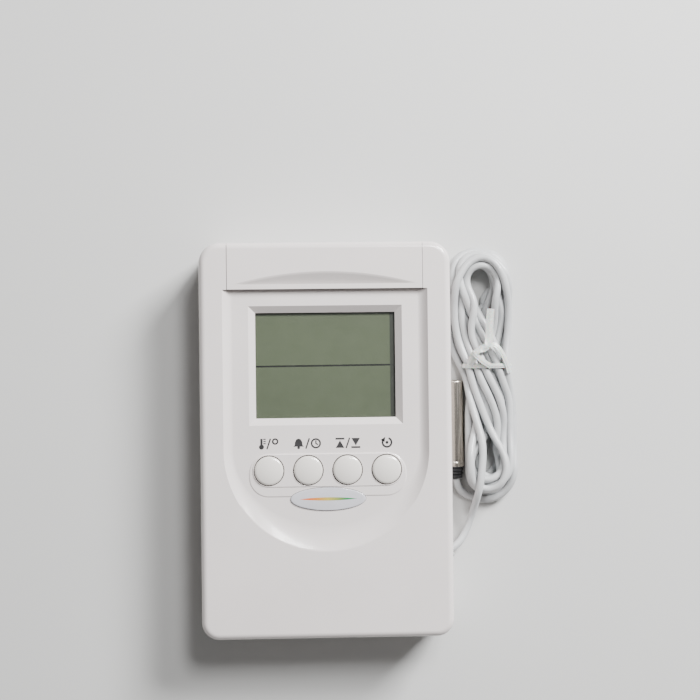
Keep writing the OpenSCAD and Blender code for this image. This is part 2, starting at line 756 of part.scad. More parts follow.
module probe_seal() color([0.07, 0.07, 0.08])
    translate([probe_x, seal_y, probe_d / 2]) rotate([-90, 0, 0]) {
        translate([0, 0, -seal_l]) cylinder(h = seal_l, r1 = probe_d / 2 - 0.5, r2 = probe_d / 2 - 0.1);
        cylinder(h = 6, r = probe_d / 2 - 0.4);
    }

module probe_sensor() color([0.1, 0.1, 0.1])
    translate([probe_x, probe_y - 5, probe_d / 2]) {
        sphere(1.1, $fn = 32);
        for (side = [-1, 1])
            translate([0.5 * side, 0, 0]) rotate([90, 0, 0]) cylinder(h = probe_l - 11.2, r = 0.2, $fn = 16);
    }

front_cover();
rear_cover();
battery_door();
stand();
name_badge();
display_window();
display_gasket();
lcd_front_polariser();
lcd_front_glass();
lcd_rear_glass();
lcd_reflector();
contact_strip_upper();
contact_strip_lower();
circuit_board();
chip_cover();
crystal();
resistors();
capacitors();
indoor_sensor();
keypad_mat();
units_button();
alert_button();
max_min_button();
reset_button();
units_pill();
alert_pill();
max_min_pill();
reset_pill();
battery();
battery_spring();
battery_contact();
battery_lead_red();
battery_lead_black();
buzzer_disc();
buzzer_ceramic();
buzzer_leads();
housing_screws();
board_screws();
cable_gland();
cable_tail();
cable_stop();
cord_lead();
cord_hank();
cord_tie();
cord_end();
probe_seal();
probe_tube();
probe_sensor();
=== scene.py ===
"""The looks of a maximum minimum thermometer, built around its CAD frame.

The part's own frame: +Z out of the display, +Y to the unit's top edge, +X to the cable's side, and the
origin in the middle of the back face. The scene is in metres; MM turns millimetres into metres.
"""
import json
import math

import bmesh
import bpy
import numpy as np
from mathutils import Matrix, Vector
from mathutils.geometry import delaunay_2d_cdt

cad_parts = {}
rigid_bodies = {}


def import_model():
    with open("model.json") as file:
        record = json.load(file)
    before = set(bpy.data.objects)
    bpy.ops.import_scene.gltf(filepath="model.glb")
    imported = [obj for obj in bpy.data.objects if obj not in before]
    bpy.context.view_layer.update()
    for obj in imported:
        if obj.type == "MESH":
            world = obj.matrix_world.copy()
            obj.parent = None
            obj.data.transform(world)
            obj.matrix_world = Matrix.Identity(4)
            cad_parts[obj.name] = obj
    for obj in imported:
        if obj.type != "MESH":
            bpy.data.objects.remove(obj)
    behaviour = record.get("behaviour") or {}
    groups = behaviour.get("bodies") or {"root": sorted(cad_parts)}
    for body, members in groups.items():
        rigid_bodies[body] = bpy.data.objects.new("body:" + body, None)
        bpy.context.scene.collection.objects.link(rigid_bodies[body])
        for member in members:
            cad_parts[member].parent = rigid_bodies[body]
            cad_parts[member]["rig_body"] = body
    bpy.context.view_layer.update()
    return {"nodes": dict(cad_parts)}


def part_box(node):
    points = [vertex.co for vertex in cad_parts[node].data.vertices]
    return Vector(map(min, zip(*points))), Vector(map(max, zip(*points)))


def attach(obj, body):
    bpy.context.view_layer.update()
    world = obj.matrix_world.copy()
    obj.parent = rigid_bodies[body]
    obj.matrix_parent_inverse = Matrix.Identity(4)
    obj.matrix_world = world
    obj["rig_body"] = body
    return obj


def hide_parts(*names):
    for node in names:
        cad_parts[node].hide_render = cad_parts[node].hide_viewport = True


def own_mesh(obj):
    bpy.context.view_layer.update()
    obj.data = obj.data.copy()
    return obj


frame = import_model()
nodes = frame["nodes"]
MM = 0.001
WELD = 1e-3 * MM                        # points nearer than this are one


def placed(name, data):
    """A new object in the scene."""
    obj = bpy.data.objects.new(name, data)
    bpy.context.scene.collection.objects.link(obj)
    return obj


def corners_of(node):
    """The lower and the upper corner of a CAD node's box, in millimetres."""
    return [np.array(corner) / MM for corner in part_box(node)]


# ---- camera ----

camera_data = bpy.data.cameras.new("camera")
camera_data.sensor_width = 36
camera_data.lens = 74.43
camera = placed("camera", camera_data)
camera.location = Vector((-8.91, 20.93, 420.93)) * MM
camera.rotation_euler = [math.radians(angle) for angle in (0.587, -2.234, -0.679)]
bpy.context.scene.camera = camera


# ---- the housing's own dimensions, in millimetres ----

COVER_LOW, COVER_HIGH = corners_of("front_cover")
HALF_W, HALF_H, RIM_Z = COVER_HIGH
PARTING_Z = 9                           # where the front cover and the rear cover meet
WALL = 1.8
CORNERS = (5.8, 4.8)                    # corner radii at the top and at the bottom
EDGE_R = 1.8
DISH_DEPTH = 1.6
DISH_R = 28.5                           # half the dish's width, and its round lower end
DISH_ARC_Y = -2.6
DISH_SIDE_RUN, DISH_END_RUN, DISH_TOP_RUN = 2.7, 7.5, 0.15
DISH_Z = RIM_Z - DISH_DEPTH
UNDER_Z = DISH_Z - WALL
VIEW_HALF, VIEW_Y = np.array([19.5, 14.7]), 20.75
BEVEL_RUN, BEVEL_LOW_Z = 1.9, UNDER_Z + 0.3
MIDDLE_X = 0.3                          # the buttons and the badge sit this far from the middle
BUTTON_XS = [MIDDLE_X + (i - 1.5) * 10.9 for i in range(4)]
BUTTON_Y = -8.4
HOLE_R, HOLE_EDGE = 4.25, 0.15
PAD_HALF, PAD_R = np.array([21, 4.65]), 4.65
PAD_RISE, PAD_EDGE = 0.2, 0.2
PLATEAU_HALF, PLATEAU_R, PLATEAU_Y = np.array([22, 6.1]), 5.6, -9.75
PLATEAU_RISE, PLATEAU_EDGE = 0.2, 0.42
BADGE_AXES, BADGE_Y = np.array([10.6, 3.3]), -16.4
BADGE_SEAT_Z = DISH_Z - 0.4
MAT_TOP_Z = UNDER_Z - 4                 # top of the keypad mat's flat part
DOOR_Y = 41.9                           # the door's lower edge
DOOR_HALF, DOOR_T, DOOR_GAP = 27.15, 1.8, 0.12
RAIL_LOW, RAIL_HIGH = np.array([25.95, 43.4, 17.2]), np.array([28.15, 54.5, 18.3])
SCOOP_HALF, SCOOP_H, SCOOP_DEPTH, SCOOP_Y = 25.5, 3.5, 1.3, DOOR_Y + 1.4


# ---- meshes ----

def changed(mesh, change):
    """The mesh after change has been made to it as a bmesh."""
    work = bmesh.new()
    work.from_mesh(mesh)
    change(work)
    work.to_mesh(mesh)
    work.free()
    return mesh


def smoothed(mesh, angle):
    """Smooth shading, with every edge sharper than angle degrees kept crisp."""
    def mark(work):
        for face in work.faces:
            face.smooth = True
        for edge in work.edges:
            edge.smooth = len(edge.link_faces) == 2 and edge.calc_face_angle(math.pi) < math.radians(angle)

    return changed(mesh, mark)


def piece(name, mesh, material, replaces=(), body="housing", angle=30):
    """A finished piece of the object: shaded, coloured and riding on its body."""
    obj = placed(name, smoothed(mesh, angle))
    mesh.materials.clear()
    mesh.materials.append(material)
    even = obj.modifiers.new("even_shading", "WEIGHTED_NORMAL")
    even.keep_sharp = True
    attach(obj, body)
    if replaces:
        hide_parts(*replaces)
    return obj


def mesh_of(vertices, faces):
    mesh = bpy.data.meshes.new("mesh")
    mesh.from_pydata([tuple(v) for v in vertices], [], [tuple(f) for f in faces])
    mesh.update()
    return mesh


def applied(mesh, *modifiers):
    """The mesh after some modifiers, each given as (type, {property: value})."""
    obj = placed("work", mesh)
    for kind, values in modifiers:
        modifier = obj.modifiers.new(kind, kind)
        for key, value in values.items():
            setattr(modifier, key, value)
    depsgraph = bpy.context.evaluated_depsgraph_get()
    result = bpy.data.meshes.new_from_object(obj.evaluated_get(depsgraph))
    bpy.data.objects.remove(obj)
    return result


def cad_copy(node):
    """A copy of a CAD node's mesh, with its flat faces whole again."""
    def copy(work):
        work.from_mesh(nodes[node].data)
        bmesh.ops.remove_doubles(work, verts=work.verts, dist=WELD)
        bmesh.ops.dissolve_limit(work, angle_limit=math.radians(0.5), verts=work.verts, edges=work.edges)

    return changed(bpy.data.meshes.new(node), copy)


def bevelled(mesh, width, segments=3):
    """A round of width millimetres on every sharp edge."""
    return applied(mesh, ("BEVEL", dict(
        width=width * MM, segments=segments, limit_method="ANGLE", angle_limit=math.radians(32),
        use_clamp_overlap=True, miter_outer="MITER_ARC", profile=0.6,
    )))


def moulded(node, material, width):
    """A CAD node again, with its edges rounded by width millimetres."""
    return piece(node + "_detail", bevelled(cad_copy(node), width, segments=2), material, [node])


def welded(*parts):
    """One closed mesh of (vertices, faces) parts in millimetres, with coinciding points welded."""
    def close(work):
        bmesh.ops.remove_doubles(work, verts=work.verts, dist=WELD)
        bmesh.ops.recalc_face_normals(work, faces=work.faces)

    vertices, faces = [], []
    for part_vertices, part_faces in parts:
        faces += [[i + len(vertices) for i in face] for face in part_faces]
        vertices += [Vector(v) * MM for v in part_vertices]
    return changed(mesh_of(vertices, faces), close)


def bands(rows, count):
    """Faces that join rows of count points each, closed round."""
    return [
        (i * count + k, i * count + (k + 1) % count, (i + 1) * count + (k + 1) % count, (i + 1) * count + k)
        for i in range(rows - 1) for k in range(count)
    ]


def wall_through(sections):
    """Vertices and faces of a wall through sections of equally many points."""
    return [p for section in sections for p in section], bands(len(sections), len(sections[0]))


def lofted(sections):
    """A closed mesh through sections, in millimetres."""
    vertices, faces = wall_through(sections)
    indices, count = list(range(len(vertices))), len(sections[0])
    return welded((vertices, faces + [indices[:count], indices[-count:]]))


def box(low, high):
    """A box between two corners, in millimetres."""
    (x0, y0, z0), (x1, y1, z1) = low, high
    return lofted([[(x0, y0, z), (x1, y0, z), (x1, y1, z), (x0, y1, z)] for z in (z0, z1)])


def combined(mesh, other, operation):
    """mesh with other cut away, added or kept in common."""
    tool = placed("tool", other)
    tool.hide_render = True
    result = applied(mesh, ("BOOLEAN", dict(object=tool, operation=operation, solver="EXACT")))
    bpy.data.objects.remove(tool)
    return result


def joined(*meshes):
    """One mesh of several."""
    def add(work):
        for mesh in meshes:
            work.from_mesh(mesh)

    return changed(bpy.data.meshes.new("joined"), add)


def lathe(profile, place=(0, 0, 0), axis=(0, 0, 1), sides=64):
    """A closed, turned mesh. profile is (radius, height) points, from axis to axis or a ring."""
    turn = Vector((0, 0, 1)).rotation_difference(Vector(axis)).to_matrix()
    turns = [2 * math.pi * k / sides for k in range(sides)]
    rings = [[(r * math.cos(a), r * math.sin(a), height) for a in turns] for r, height in profile]
    vertices, faces = wall_through(rings)
    return welded(([Vector(place) + turn @ Vector(v) for v in vertices], faces))


def arc(centre, radius, start, end, steps):
    """Points on an arc in a profile, angles in degrees."""
    return [
        (centre[0] + radius * math.cos(math.radians(a)), centre[1] + radius * math.sin(math.radians(a)))
        for a in np.linspace(start, end, steps + 1)
    ]


def swept(points, section, ups, closed=False):
    """A mesh swept along points. section is (side, up) offsets; ups holds an up direction for each point."""
    points = np.asarray(points, float)
    ahead = np.roll(points, -1, axis=0) - np.roll(points, 1, axis=0)
    if not closed:
        ahead[0], ahead[-1] = points[1] - points[0], points[-1] - points[-2]
    ahead /= np.linalg.norm(ahead, axis=1)[:, None]
    side = np.cross(ahead, ups)
    side /= np.linalg.norm(side, axis=1)[:, None]
    up = np.cross(side, ahead)
    vertices = [p + x * s + y * u for p, s, u in zip(points, side, up) for x, y in section]
    indices, around = list(range(len(vertices))), len(section)
    faces = [[i % len(vertices) for i in face] for face in bands(len(points) + closed, around)]
    if not closed:
        faces += [indices[around - 1::-1], indices[-around:]]
    return mesh_of(vertices, faces)


def smooth_curve(points, step):
    """Evenly spaced points on a smooth curve through the given ones."""
    points = np.asarray(points, float)
    p = np.vstack([2 * points[0] - points[1], points, 2 * points[-1] - points[-2]])
    t = np.linspace(0, 1, 24, endpoint=False)[:, None]
    spans = [
        0.5 * (2 * b + (c - a) * t + (2 * a - 5 * b + 4 * c - d) * t**2 + (3 * b - a - 3 * c + d) * t**3)
        for a, b, c, d in zip(p[:-3], p[1:-2], p[2:-1], p[3:])
    ]
    return spaced(np.vstack(spans + [points[-1:]]), step)


def spaced(line, step):
    """Points along a line at equal distances of about step."""
    run = np.concatenate([[0], np.cumsum(np.linalg.norm(np.diff(line, axis=0), axis=1))])
    at = np.linspace(0, run[-1], int(round(run[-1] / step)) + 1)
    return np.stack([np.interp(at, run, line[:, axis]) for axis in range(3)], axis=1)


# ---- materials ----

class Surface:
    """A node material under construction. Its patterns all live in the piece's own space, in metres."""

    def __init__(self, name, **sockets):
        self.material = bpy.data.materials.new(name)
        self.material.use_nodes = True
        self.tree = self.material.node_tree
        self.shader = self.tree.nodes["Principled BSDF"]
        self.space = self.tree.nodes.new("ShaderNodeTexCoord").outputs["Object"]
        for socket, value in sockets.items():
            self.shader.inputs[socket.replace("_", " ")].default_value = value

    def node(self, kind, values=(), **links):
        made = self.tree.nodes.new("ShaderNode" + kind)
        for key, value in dict(values).items():
            if key in made.inputs:
                made.inputs[key].default_value = value
            else:
                setattr(made, key, value)
        for key, source in links.items():
            self.tree.links.new(source, made.inputs[key])
        return made

    def stretched(self, scale):
        """The piece's space with its axes scaled."""
        return self.node("Mapping", {"Scale": scale}, Vector=self.space).outputs["Vector"]

    def noise(self, scale, detail=3, vector=None, roughness=0.55):
        values = {"Scale": scale, "Detail": detail, "Roughness": roughness}
        return self.node("TexNoise", values, Vector=vector or self.space).outputs["Fac"]

    def ramp(self, factor, *stops):
        """stops are (place, colour or grey value)."""
        made = self.node("ValToRGB", Fac=factor)
        ramp = made.color_ramp
        while len(ramp.elements) < len(stops):
            ramp.elements.new(0.5)
        for element, (place, value) in zip(ramp.elements, stops):
            element.position = place
            element.color = (*value, 1) if isinstance(value, tuple) else (value, value, value, 1)
        return made.outputs["Color"]

    def math(self, operation, a, b=None, c=None):
        made = self.node("Math", {"operation": operation})
        for socket, value in zip(made.inputs, (a, b, c)):
            if isinstance(value, bpy.types.NodeSocket):
                self.tree.links.new(value, socket)
            elif value is not None:
                socket.default_value = value
        return made.outputs[0]

    def mix(self, factor, a, b):
        """Colour a where factor is 0 and b where it is 1."""
        made = self.node("Mix", {"data_type": "RGBA"})
        for key, value in ((0, factor), (6, a), (7, b)):
            if isinstance(value, bpy.types.NodeSocket):
                self.tree.links.new(value, made.inputs[key])
            else:
                made.inputs[key].default_value = (*value, 1) if isinstance(value, tuple) else value
        return made.outputs[2]

    def axes(self):
        parts = self.node("SeparateXYZ", Vector=self.space).outputs
        return parts[0], parts[1], parts[2]

    def link(self, socket, source):
        self.tree.links.new(source, self.shader.inputs[socket])

    def colour(self, source):
        self.link("Base Color", source)

    def mottled(self, colour, scale, amount):
        """An even colour with slight, cloudy differences in tone."""
        low = tuple(c * (1 - amount) for c in colour)
        high = tuple(min(c * (1 + amount), 1) for c in colour)
        return self.ramp(self.noise(scale, 4), (0.3, low), (0.7, high))

    def ranged(self, value, low, high, to_low=0.0, to_high=1.0):
        """value brought from one range into another, and kept inside it."""
        values = {"From Min": low, "From Max": high, "To Min": to_low, "To Max": to_high}
        return self.node("MapRange", values, Value=value).outputs["Result"]

    def gloss(self, roughness, change, scale):
        spread = self.ranged(self.noise(scale, 5), 0.3, 0.7, roughness - change, roughness + change)
        self.link("Roughness", spread)

    def relief(self, height, depth):
        """Bumps of depth millimetres."""
        bump = self.node("Bump", {"Distance": depth * MM, "Strength": 1.0}, Height=height)
        self.link("Normal", bump.outputs["Normal"])


def plastic(name, colour, roughness, grain=2500, depth=0.004, tone=0.025, **sockets):
    """Moulded plastic: nearly even colour, uneven gloss, and a fine moulded grain over slow waves."""
    made = Surface(name, **sockets)
    made.colour(made.mottled(colour, 45, tone))
    made.gloss(roughness, roughness * 0.25, 160)
    made.relief(made.math("MULTIPLY_ADD", made.noise(120, 2), 1.5, made.noise(grain, 2)), depth)
    return made.material


def door_material(colour):
    """The cover's plastic, with a fine matt texture in the scoop for the thumb and a painted shade that
    darkens the scoop's colour.
    """
    made = Surface("door_plastic", Coat_Weight=0.25, Coat_Roughness=0.1)
    _, y, z = made.axes()
    lower = made.ranged(z, (RIM_Z - 0.05) * MM, (RIM_Z - 0.25) * MM)
    scoop = made.math("MULTIPLY", lower, made.math("LESS_THAN", y, (SCOOP_Y + SCOOP_H + 0.1) * MM))
    # painted shade: the scoop's colour darkened to 0.68 of the plastic's, for the shade on its down-facing
    # slope; its roughness and grain are the real finish
    painted_scoop_shade = tuple(c * 0.68 for c in colour)
    made.colour(made.mix(scoop, made.mottled(colour, 45, 0.025), made.mottled(painted_scoop_shade, 45, 0.03)))
    gloss = made.math("MULTIPLY_ADD", made.noise(160, 5), 0.1, 0.17)
    made.link("Roughness", made.math("MULTIPLY_ADD", scoop, 0.35, gloss))
    grain = made.math("MULTIPLY", made.noise(2500, 2), made.math("MULTIPLY_ADD", scoop, 3.0, 1.0))
    made.relief(made.math("MULTIPLY_ADD", made.noise(120, 2), 1.5, grain), 0.004)
    return made.material


def drawn_metal(name, colour, roughness, along, scale=1800):
    """Metal with fine lines drawn along one axis."""
    made = Surface(name, Metallic=1.0)
    lines = made.noise(scale, 5, made.stretched([0.02 if k == along else 1 for k in range(3)]), 0.7)
    made.colour(made.ramp(lines, (0.3, tuple(c * 0.8 for c in colour)), (0.65, colour)))
    made.link("Roughness", made.ranged(lines, 0.3, 0.7, roughness * 0.7, roughness * 1.3))
    made.relief(lines, 0.004)
    return made.material


def board_material():
    """Green solder mask over tracks, with tinned pads."""
    made = Surface("solder_mask", Coat_Weight=0.4, Coat_Roughness=0.15, IOR=1.5)
    brick = {"Scale": 260, "Mortar Size": 0.12, "Mortar Smooth": 0.2, "Brick Width": 0.9, "Row Height": 0.3}
    tracks = made.node("TexBrick", brick, Vector=made.space).outputs["Fac"]
    pads = made.node("TexVoronoi", {"Scale": 230, "Randomness": 0.35}, Vector=made.space).outputs["Distance"]
    pad = made.ramp(pads, (0.16, 1.0), (0.19, 0.0))
    mask = made.mix(tracks, (0.012, 0.13, 0.045), (0.03, 0.25, 0.08))
    made.colour(made.mix(pad, mask, (0.72, 0.7, 0.64)))
    made.link("Metallic", pad)
    made.gloss(0.3, 0.08, 300)
    made.relief(made.math("ADD", tracks, pad), 0.03)
    return made.material


def cord_material():
    """White PVC: slightly waxy, with small dents."""
    made = Surface("white_pvc", Subsurface_Weight=0.08, Subsurface_Scale=0.5 * MM, Coat_Weight=0.15)
    made.shader.inputs["Subsurface Radius"].default_value = (1.0, 0.9, 0.85)
    made.colour(made.mottled((0.52, 0.53, 0.535), 140, 0.06))
    made.gloss(0.34, 0.08, 500)
    made.relief(made.math("MULTIPLY_ADD", made.noise(260, 2), 2.0, made.noise(1900, 3)), 0.012)
    return made.material


def lcd_material():
    """Grey-green film with a faint grain, one dark line across it and a painted shadow along its right and
    top edges.
    """
    made = Surface("lcd_film", IOR=1.45)
    x, y, _ = made.axes()
    line_y, line_half, line_slope = 20.6 * MM, 0.25 * MM, 0.004
    streaks = made.noise(900, 4, made.stretched([0.15, 1, 1]))
    film = made.mottled((0.232, 0.29, 0.168), 60, 0.05)
    film = made.mix(made.math("MULTIPLY", streaks, 0.22), film, (0.29, 0.35, 0.21))
    sloped_y = made.math("MULTIPLY_ADD", x, -line_slope, y)
    off_line = made.math("ABSOLUTE", made.math("SUBTRACT", sloped_y, line_y))
    film = made.mix(made.math("LESS_THAN", off_line, line_half), film, (0.012, 0.014, 0.01))
    # painted shadow: the film turns nearly black along its right and top edges, where the opening's walls
    # shade it
    right = made.ranged(x, 18 * MM, 18.3 * MM, 0.0, 0.93)
    top = made.ranged(y, 34.7 * MM, 35.35 * MM, 0.0, 0.7)
    made.colour(made.mix(made.math("MAXIMUM", right, top), film, (0.06, 0.068, 0.055)))
    made.gloss(0.38, 0.06, 300)
    made.relief(streaks, 0.002)
    return made.material


def window_material():
    """A clear window with a trace of dust: it shows where it is glossy, and lets the display be seen."""
    made = Surface("clear_window", IOR=1.49, Roughness=0.04)
    made.colour(made.mottled((0.3, 0.31, 0.3), 300, 0.1))
    fresnel = made.node("Fresnel", {"IOR": 1.42}).outputs["Fac"]
    dust = made.math("MULTIPLY", made.noise(700, 6), 0.03)
    made.link("Alpha", made.math("ADD", fresnel, dust))
    return made.material


def badge_material():
    """Satin oval with a thin stripe that turns from orange to green, and thins out to its ends."""
    made = Surface("badge_satin", Coat_Weight=0.6, Coat_Roughness=0.06)
    x, y, _ = made.axes()
    satin = made.mottled((0.56, 0.56, 0.6), 120, 0.04)
    orange, olive, green = (0.7, 0.15, 0.03), (0.5, 0.4, 0.08), (0.02, 0.22, 0.07)
    along = made.ranged(x, -6 * MM, 6.6 * MM)
    stripe_colour = made.ramp(along, (0.1, orange), (0.5, olive), (0.9, green))
    off_line = made.math("ABSOLUTE", made.math("SUBTRACT", y, BADGE_Y * MM))
    off_middle = made.math("ABSOLUTE", made.math("SUBTRACT", x, MIDDLE_X * MM))
    thinner = made.math("MULTIPLY", made.math("POWER", off_middle, 2.0), 7.0)
    stripe = made.math("LESS_THAN", off_line, made.math("SUBTRACT", 0.45 * MM, thinner))
    made.colour(made.mix(stripe, satin, stripe_colour))
    made.gloss(0.25, 0.05, 300)
    made.relief(made.noise(3000, 2), 0.003)
    return made.material


def jacket_material():
    """The battery's shrunk jacket: blue, with a silver band at the positive end."""
    made = Surface("battery_jacket", Coat_Weight=0.5, Coat_Roughness=0.1)
    x, _, _ = made.axes()
    blue = made.mottled((0.02, 0.045, 0.24), 150, 0.12)
    silver = made.mottled((0.5, 0.51, 0.54), 400, 0.06)
    band = made.ranged(x, 13.4 * MM, 13.5 * MM)
    made.colour(made.mix(band, blue, silver))
    made.link("Metallic", made.math("MULTIPLY", band, 0.8))
    made.gloss(0.28, 0.06, 500)
    made.relief(made.noise(500, 4), 0.01)
    return made.material


def strip_material():
    """Pink silicone with fine black conducting layers."""
    made = Surface("contact_rubber")
    wave = {"Scale": 2600, "Distortion": 0.4, "bands_direction": "X"}
    layers = made.node("TexWave", wave, Vector=made.space)
    made.colour(made.mix(layers.outputs["Fac"], (0.62, 0.2, 0.24), (0.03, 0.03, 0.03)))
    made.gloss(0.6, 0.08, 400)
    made.relief(made.noise(1200, 3), 0.01)
    return made.material


def skin(name, colour, mottle, gloss, grain, depth, **sockets):
    """Mottled: mottle is (scale, amount), gloss (roughness, change, scale), grain (scale, detail)."""
    made = Surface(name, **sockets)
    made.colour(made.mottled(colour, *mottle))
    if gloss:
        made.gloss(*gloss)
    made.relief(made.noise(*grain), depth)
    return made.material


WHITE = (0.735, 0.685, 0.67)
white_plastic = plastic("white_gloss_plastic", WHITE, 0.22, Coat_Weight=0.4, Coat_Roughness=0.08)
door_plastic = door_material(WHITE)
white_matt = plastic("white_matt_plastic", (0.7, 0.655, 0.64), 0.45, grain=1500, depth=0.02)
button_plastic = plastic("button_plastic", (0.77, 0.735, 0.69), 0.16, Coat_Weight=0.5, Coat_Roughness=0.06)
print_ink = plastic("print_ink", (0.02, 0.019, 0.02), 0.5, grain=6000, depth=0.003, tone=0.3)
cord_pvc = cord_material()
steel = drawn_metal("brushed_steel", (0.56, 0.52, 0.46), 0.24, along=1)
bright_metal = drawn_metal("bright_metal", (0.66, 0.66, 0.67), 0.22, along=2, scale=900)
brass = drawn_metal("brass", (0.72, 0.52, 0.2), 0.25, along=2, scale=500)
black_rubber = plastic("black_rubber", (0.018, 0.018, 0.02), 0.5, grain=900, depth=0.02, tone=0.3)
black_foam = plastic("black_foam", (0.03, 0.03, 0.03), 0.85, grain=1400, depth=0.08, tone=0.3)
conductive = plastic("conductive_rubber", (0.03, 0.03, 0.032), 0.7, grain=2200, depth=0.01, tone=0.3)
silicone = plastic("silicone", (0.5, 0.5, 0.48), 0.5, grain=800, depth=0.01, Subsurface_Weight=0.2)
epoxy = plastic("black_epoxy", (0.012, 0.012, 0.014), 0.3, grain=500, depth=0.02, tone=0.3)
ceramic_black = plastic("black_ceramic", (0.02, 0.02, 0.022), 0.4, grain=3000, tone=0.3)
ceramic_brown = plastic("brown_ceramic", (0.34, 0.24, 0.14), 0.5, grain=2500, tone=0.15)
piezo = plastic("piezo_ceramic", (0.66, 0.63, 0.55), 0.6, grain=2500, depth=0.01, tone=0.06)
reflector = plastic("reflector_film", (0.5, 0.51, 0.47), 0.35, grain=4000, tone=0.05)
red_pvc = plastic("red_wire_pvc", (0.5, 0.02, 0.02), 0.4, grain=1500, tone=0.1)
black_pvc = plastic("black_wire_pvc", (0.02, 0.02, 0.02), 0.4, grain=1500, tone=0.2)
yellow_pvc = plastic("yellow_wire_pvc", (0.6, 0.45, 0.04), 0.4, grain=1500, tone=0.1)
solder_mask = board_material()
lcd_film = lcd_material()
clear_window = window_material()
lcd_glass = skin(
    "lcd_glass", (0.72, 0.8, 0.74), (200, 0.04), None, (80, 2), 0.01,
    IOR=1.5, Roughness=0.05, Transmission_Weight=0.85,
)
badge_satin = badge_material()
battery_jacket = jacket_material()
contact_rubber = strip_material()
tie_film = skin(        # milky plastic over a wire, thin enough to let light through
    "tie_film", (0.74, 0.76, 0.72), (300, 0.06), (0.3, 0.08, 700), (900, 3), 0.03,
    Transmission_Weight=0.25, IOR=1.45, Subsurface_Weight=0.3, Subsurface_Scale=0.5 * MM,
)


# ---- cable: the lead out of the gland, the hank and the end at the probe ----

CORD_D = 2.1 * MM
LEAD_ROUTE = np.array([
    [34.31, -33.7, 4.2], [36.39, -32.5, 4.2], [39, -30.4, 3.8], [41, -27.2, 3.6], [42.4, -22.6, 4.4],
    [43.3, -17.8, 6.6], [43.9, -12.8, 8.6], [44.4, -7, 9.2], [44.5, -1, 9.2], [44.2, 5, 9.1],
    [43.2, 10, 8.6], [41.2, 15, 7.2], [39.2, 20, 5.2], [37.7, 25, 3], [36.7, 30, 1.6], [36.4, 35, 1.2],
]) * MM
END_ROUTE = np.array([
    [37.7, -12.5, 2.5], [37.7, -13.9, 2.4], [39, -16.8, 1.6], [41.8, -18.3, 1.2], [45, -17.8, 1.2],
    [47.2, -16.2, 1.2], [48, -14, 1.2],
]) * MM
# from the lead into the first turn, and out of the last one
JOIN_ROUTE = np.array([[37, 42, 1.6], [38.2, 47.6, 2.2]]) * MM
LEAVE_ROUTE = np.array([[54, 2, 6.5], [54.2, -5, 4], [53.2, -12, 2], [49.8, -16.4, 1.2]]) * MM
TURNS = 10
WAIST = np.array([46.6, 20]) * MM       # middle of the bundle at the tie, x and y
ROW_STEP = 0.87 * CORD_D                # rows lie in each other's grooves
# the space that the tie leaves, and the space for the whole hank, whose last run lies outside the others
TIE_HALF, TIE_LEFT, TIE_RIGHT, TIE_TOP = 1.8 * MM, WAIST[0] - 5.3 * MM, WAIST[0] + 5.6 * MM, 7.2 * MM
HANK_LEFT, HANK_RIGHT, LAST_RIGHT, HANK_TOP = 36.2 * MM, 53.4 * MM, 54.6 * MM, 53.3 * MM
# below this y the turns stay to the right of this x, beside the probe
BESIDE_Y, BESIDE_X = 17 * MM, 41.4 * MM
LEAD_POINTS, END_POINTS = 90, 16        # of the cord's points, those before and after the hank
PROBE_LOW, PROBE_HIGH = np.array([37.7, -12.5, 2.5]) * MM, np.array([37.7, 15.8, 2.5]) * MM
PROBE_R = 2.5 * MM


def run_through_tie(x, row, from_x, to_x):
    """Points of a run from above the tie to below it, at place x in a row of the bundle."""
    reach = 10 * MM
    places = (((x + from_x) / 2, reach), (x, 0), ((x + to_x) / 2, -reach))
    return [[WAIST[0] + across, WAIST[1] + along, CORD_D / 2 + row * ROW_STEP] for across, along in places]


def bend(centre, radius, angles, height):
    """Points round one end of the hank, at angles in degrees."""
    turns = np.radians(angles)
    return [[centre[0] + radius * math.cos(a), centre[1] + radius * math.sin(a), height] for a in turns]


def hank_route():
    """The turns of the hank, with half a twist: runs go down under the tie and come up over them."""
    points = []
    for turn in range(TURNS):
        share = turn * 0.618 % 1
        top_r, foot_r = (8.7 - 2.6 * share) * MM, (6 - 0.7 * ((share + 0.4) % 1)) * MM
        top = np.array([45.6 + 0.5 * math.cos(2.4 * turn), 44.4 - 0.6 * share]) * MM
        foot = np.array([47.6 + 0.2 * math.sin(2.4 * turn), -8 - 0.9 * (turn * 0.37 % 1)]) * MM
        height = (1.3 + 0.65 * turn) * MM
        layer, place = divmod(turn, 5)
        down_x = (place * 2 % 5 - 2 + 0.5 * (layer % 2)) * CORD_D
        up_x = ((place * 3 + 1) % 5 - 2 - 0.5 * (layer % 2)) * CORD_D
        points += bend(top, top_r, range(150 if turn == 0 else 180, -1, -30), height)
        if turn == TURNS - 1:
            points += run_through_tie(5.2 * MM, 2.5, 6.5 * MM, 5.6 * MM)
            break
        points += run_through_tie(down_x, layer, 6.5 * MM, -3.5 * MM)
        points += bend(foot, foot_r, range(180, 361, 30), height)
        points += run_through_tie(up_x, 2 + layer, -6.5 * MM, 5.5 * MM)[::-1]
    return np.array(points)


def push_apart(points, first, second, least, free, share):
    """Moves pairs of points apart by a share of what they lack, where they are closer than least."""
    between = points[second] - points[first]
    far = np.linalg.norm(between, axis=1)
    near = far < least
    first, second, between, far = first[near], second[near], between[near], far[near][:, None]
    step = 0.5 * (least - far) / np.maximum(far, 1e-9) * between
    move, count = np.zeros_like(points), np.ones(len(points))
    np.add.at(move, first, -step)
    np.add.at(move, second, step)
    np.add.at(count, first, 1)
    np.add.at(count, second, 1)
    points += share * move / count[:, None] * free[:, None] * 2


def keep_lengths(points, rest, free):
    """Brings neighbouring points back to their distance."""
    for start in (0, 1):
        a = np.arange(start, len(points) - 1, 2)
        between = points[a + 1] - points[a]
        far = np.linalg.norm(between, axis=1)[:, None]
        change = 0.5 * (far - rest) / far * between
        points[a] += change * free[a, None]
        points[a + 1] -= change * free[a + 1, None]


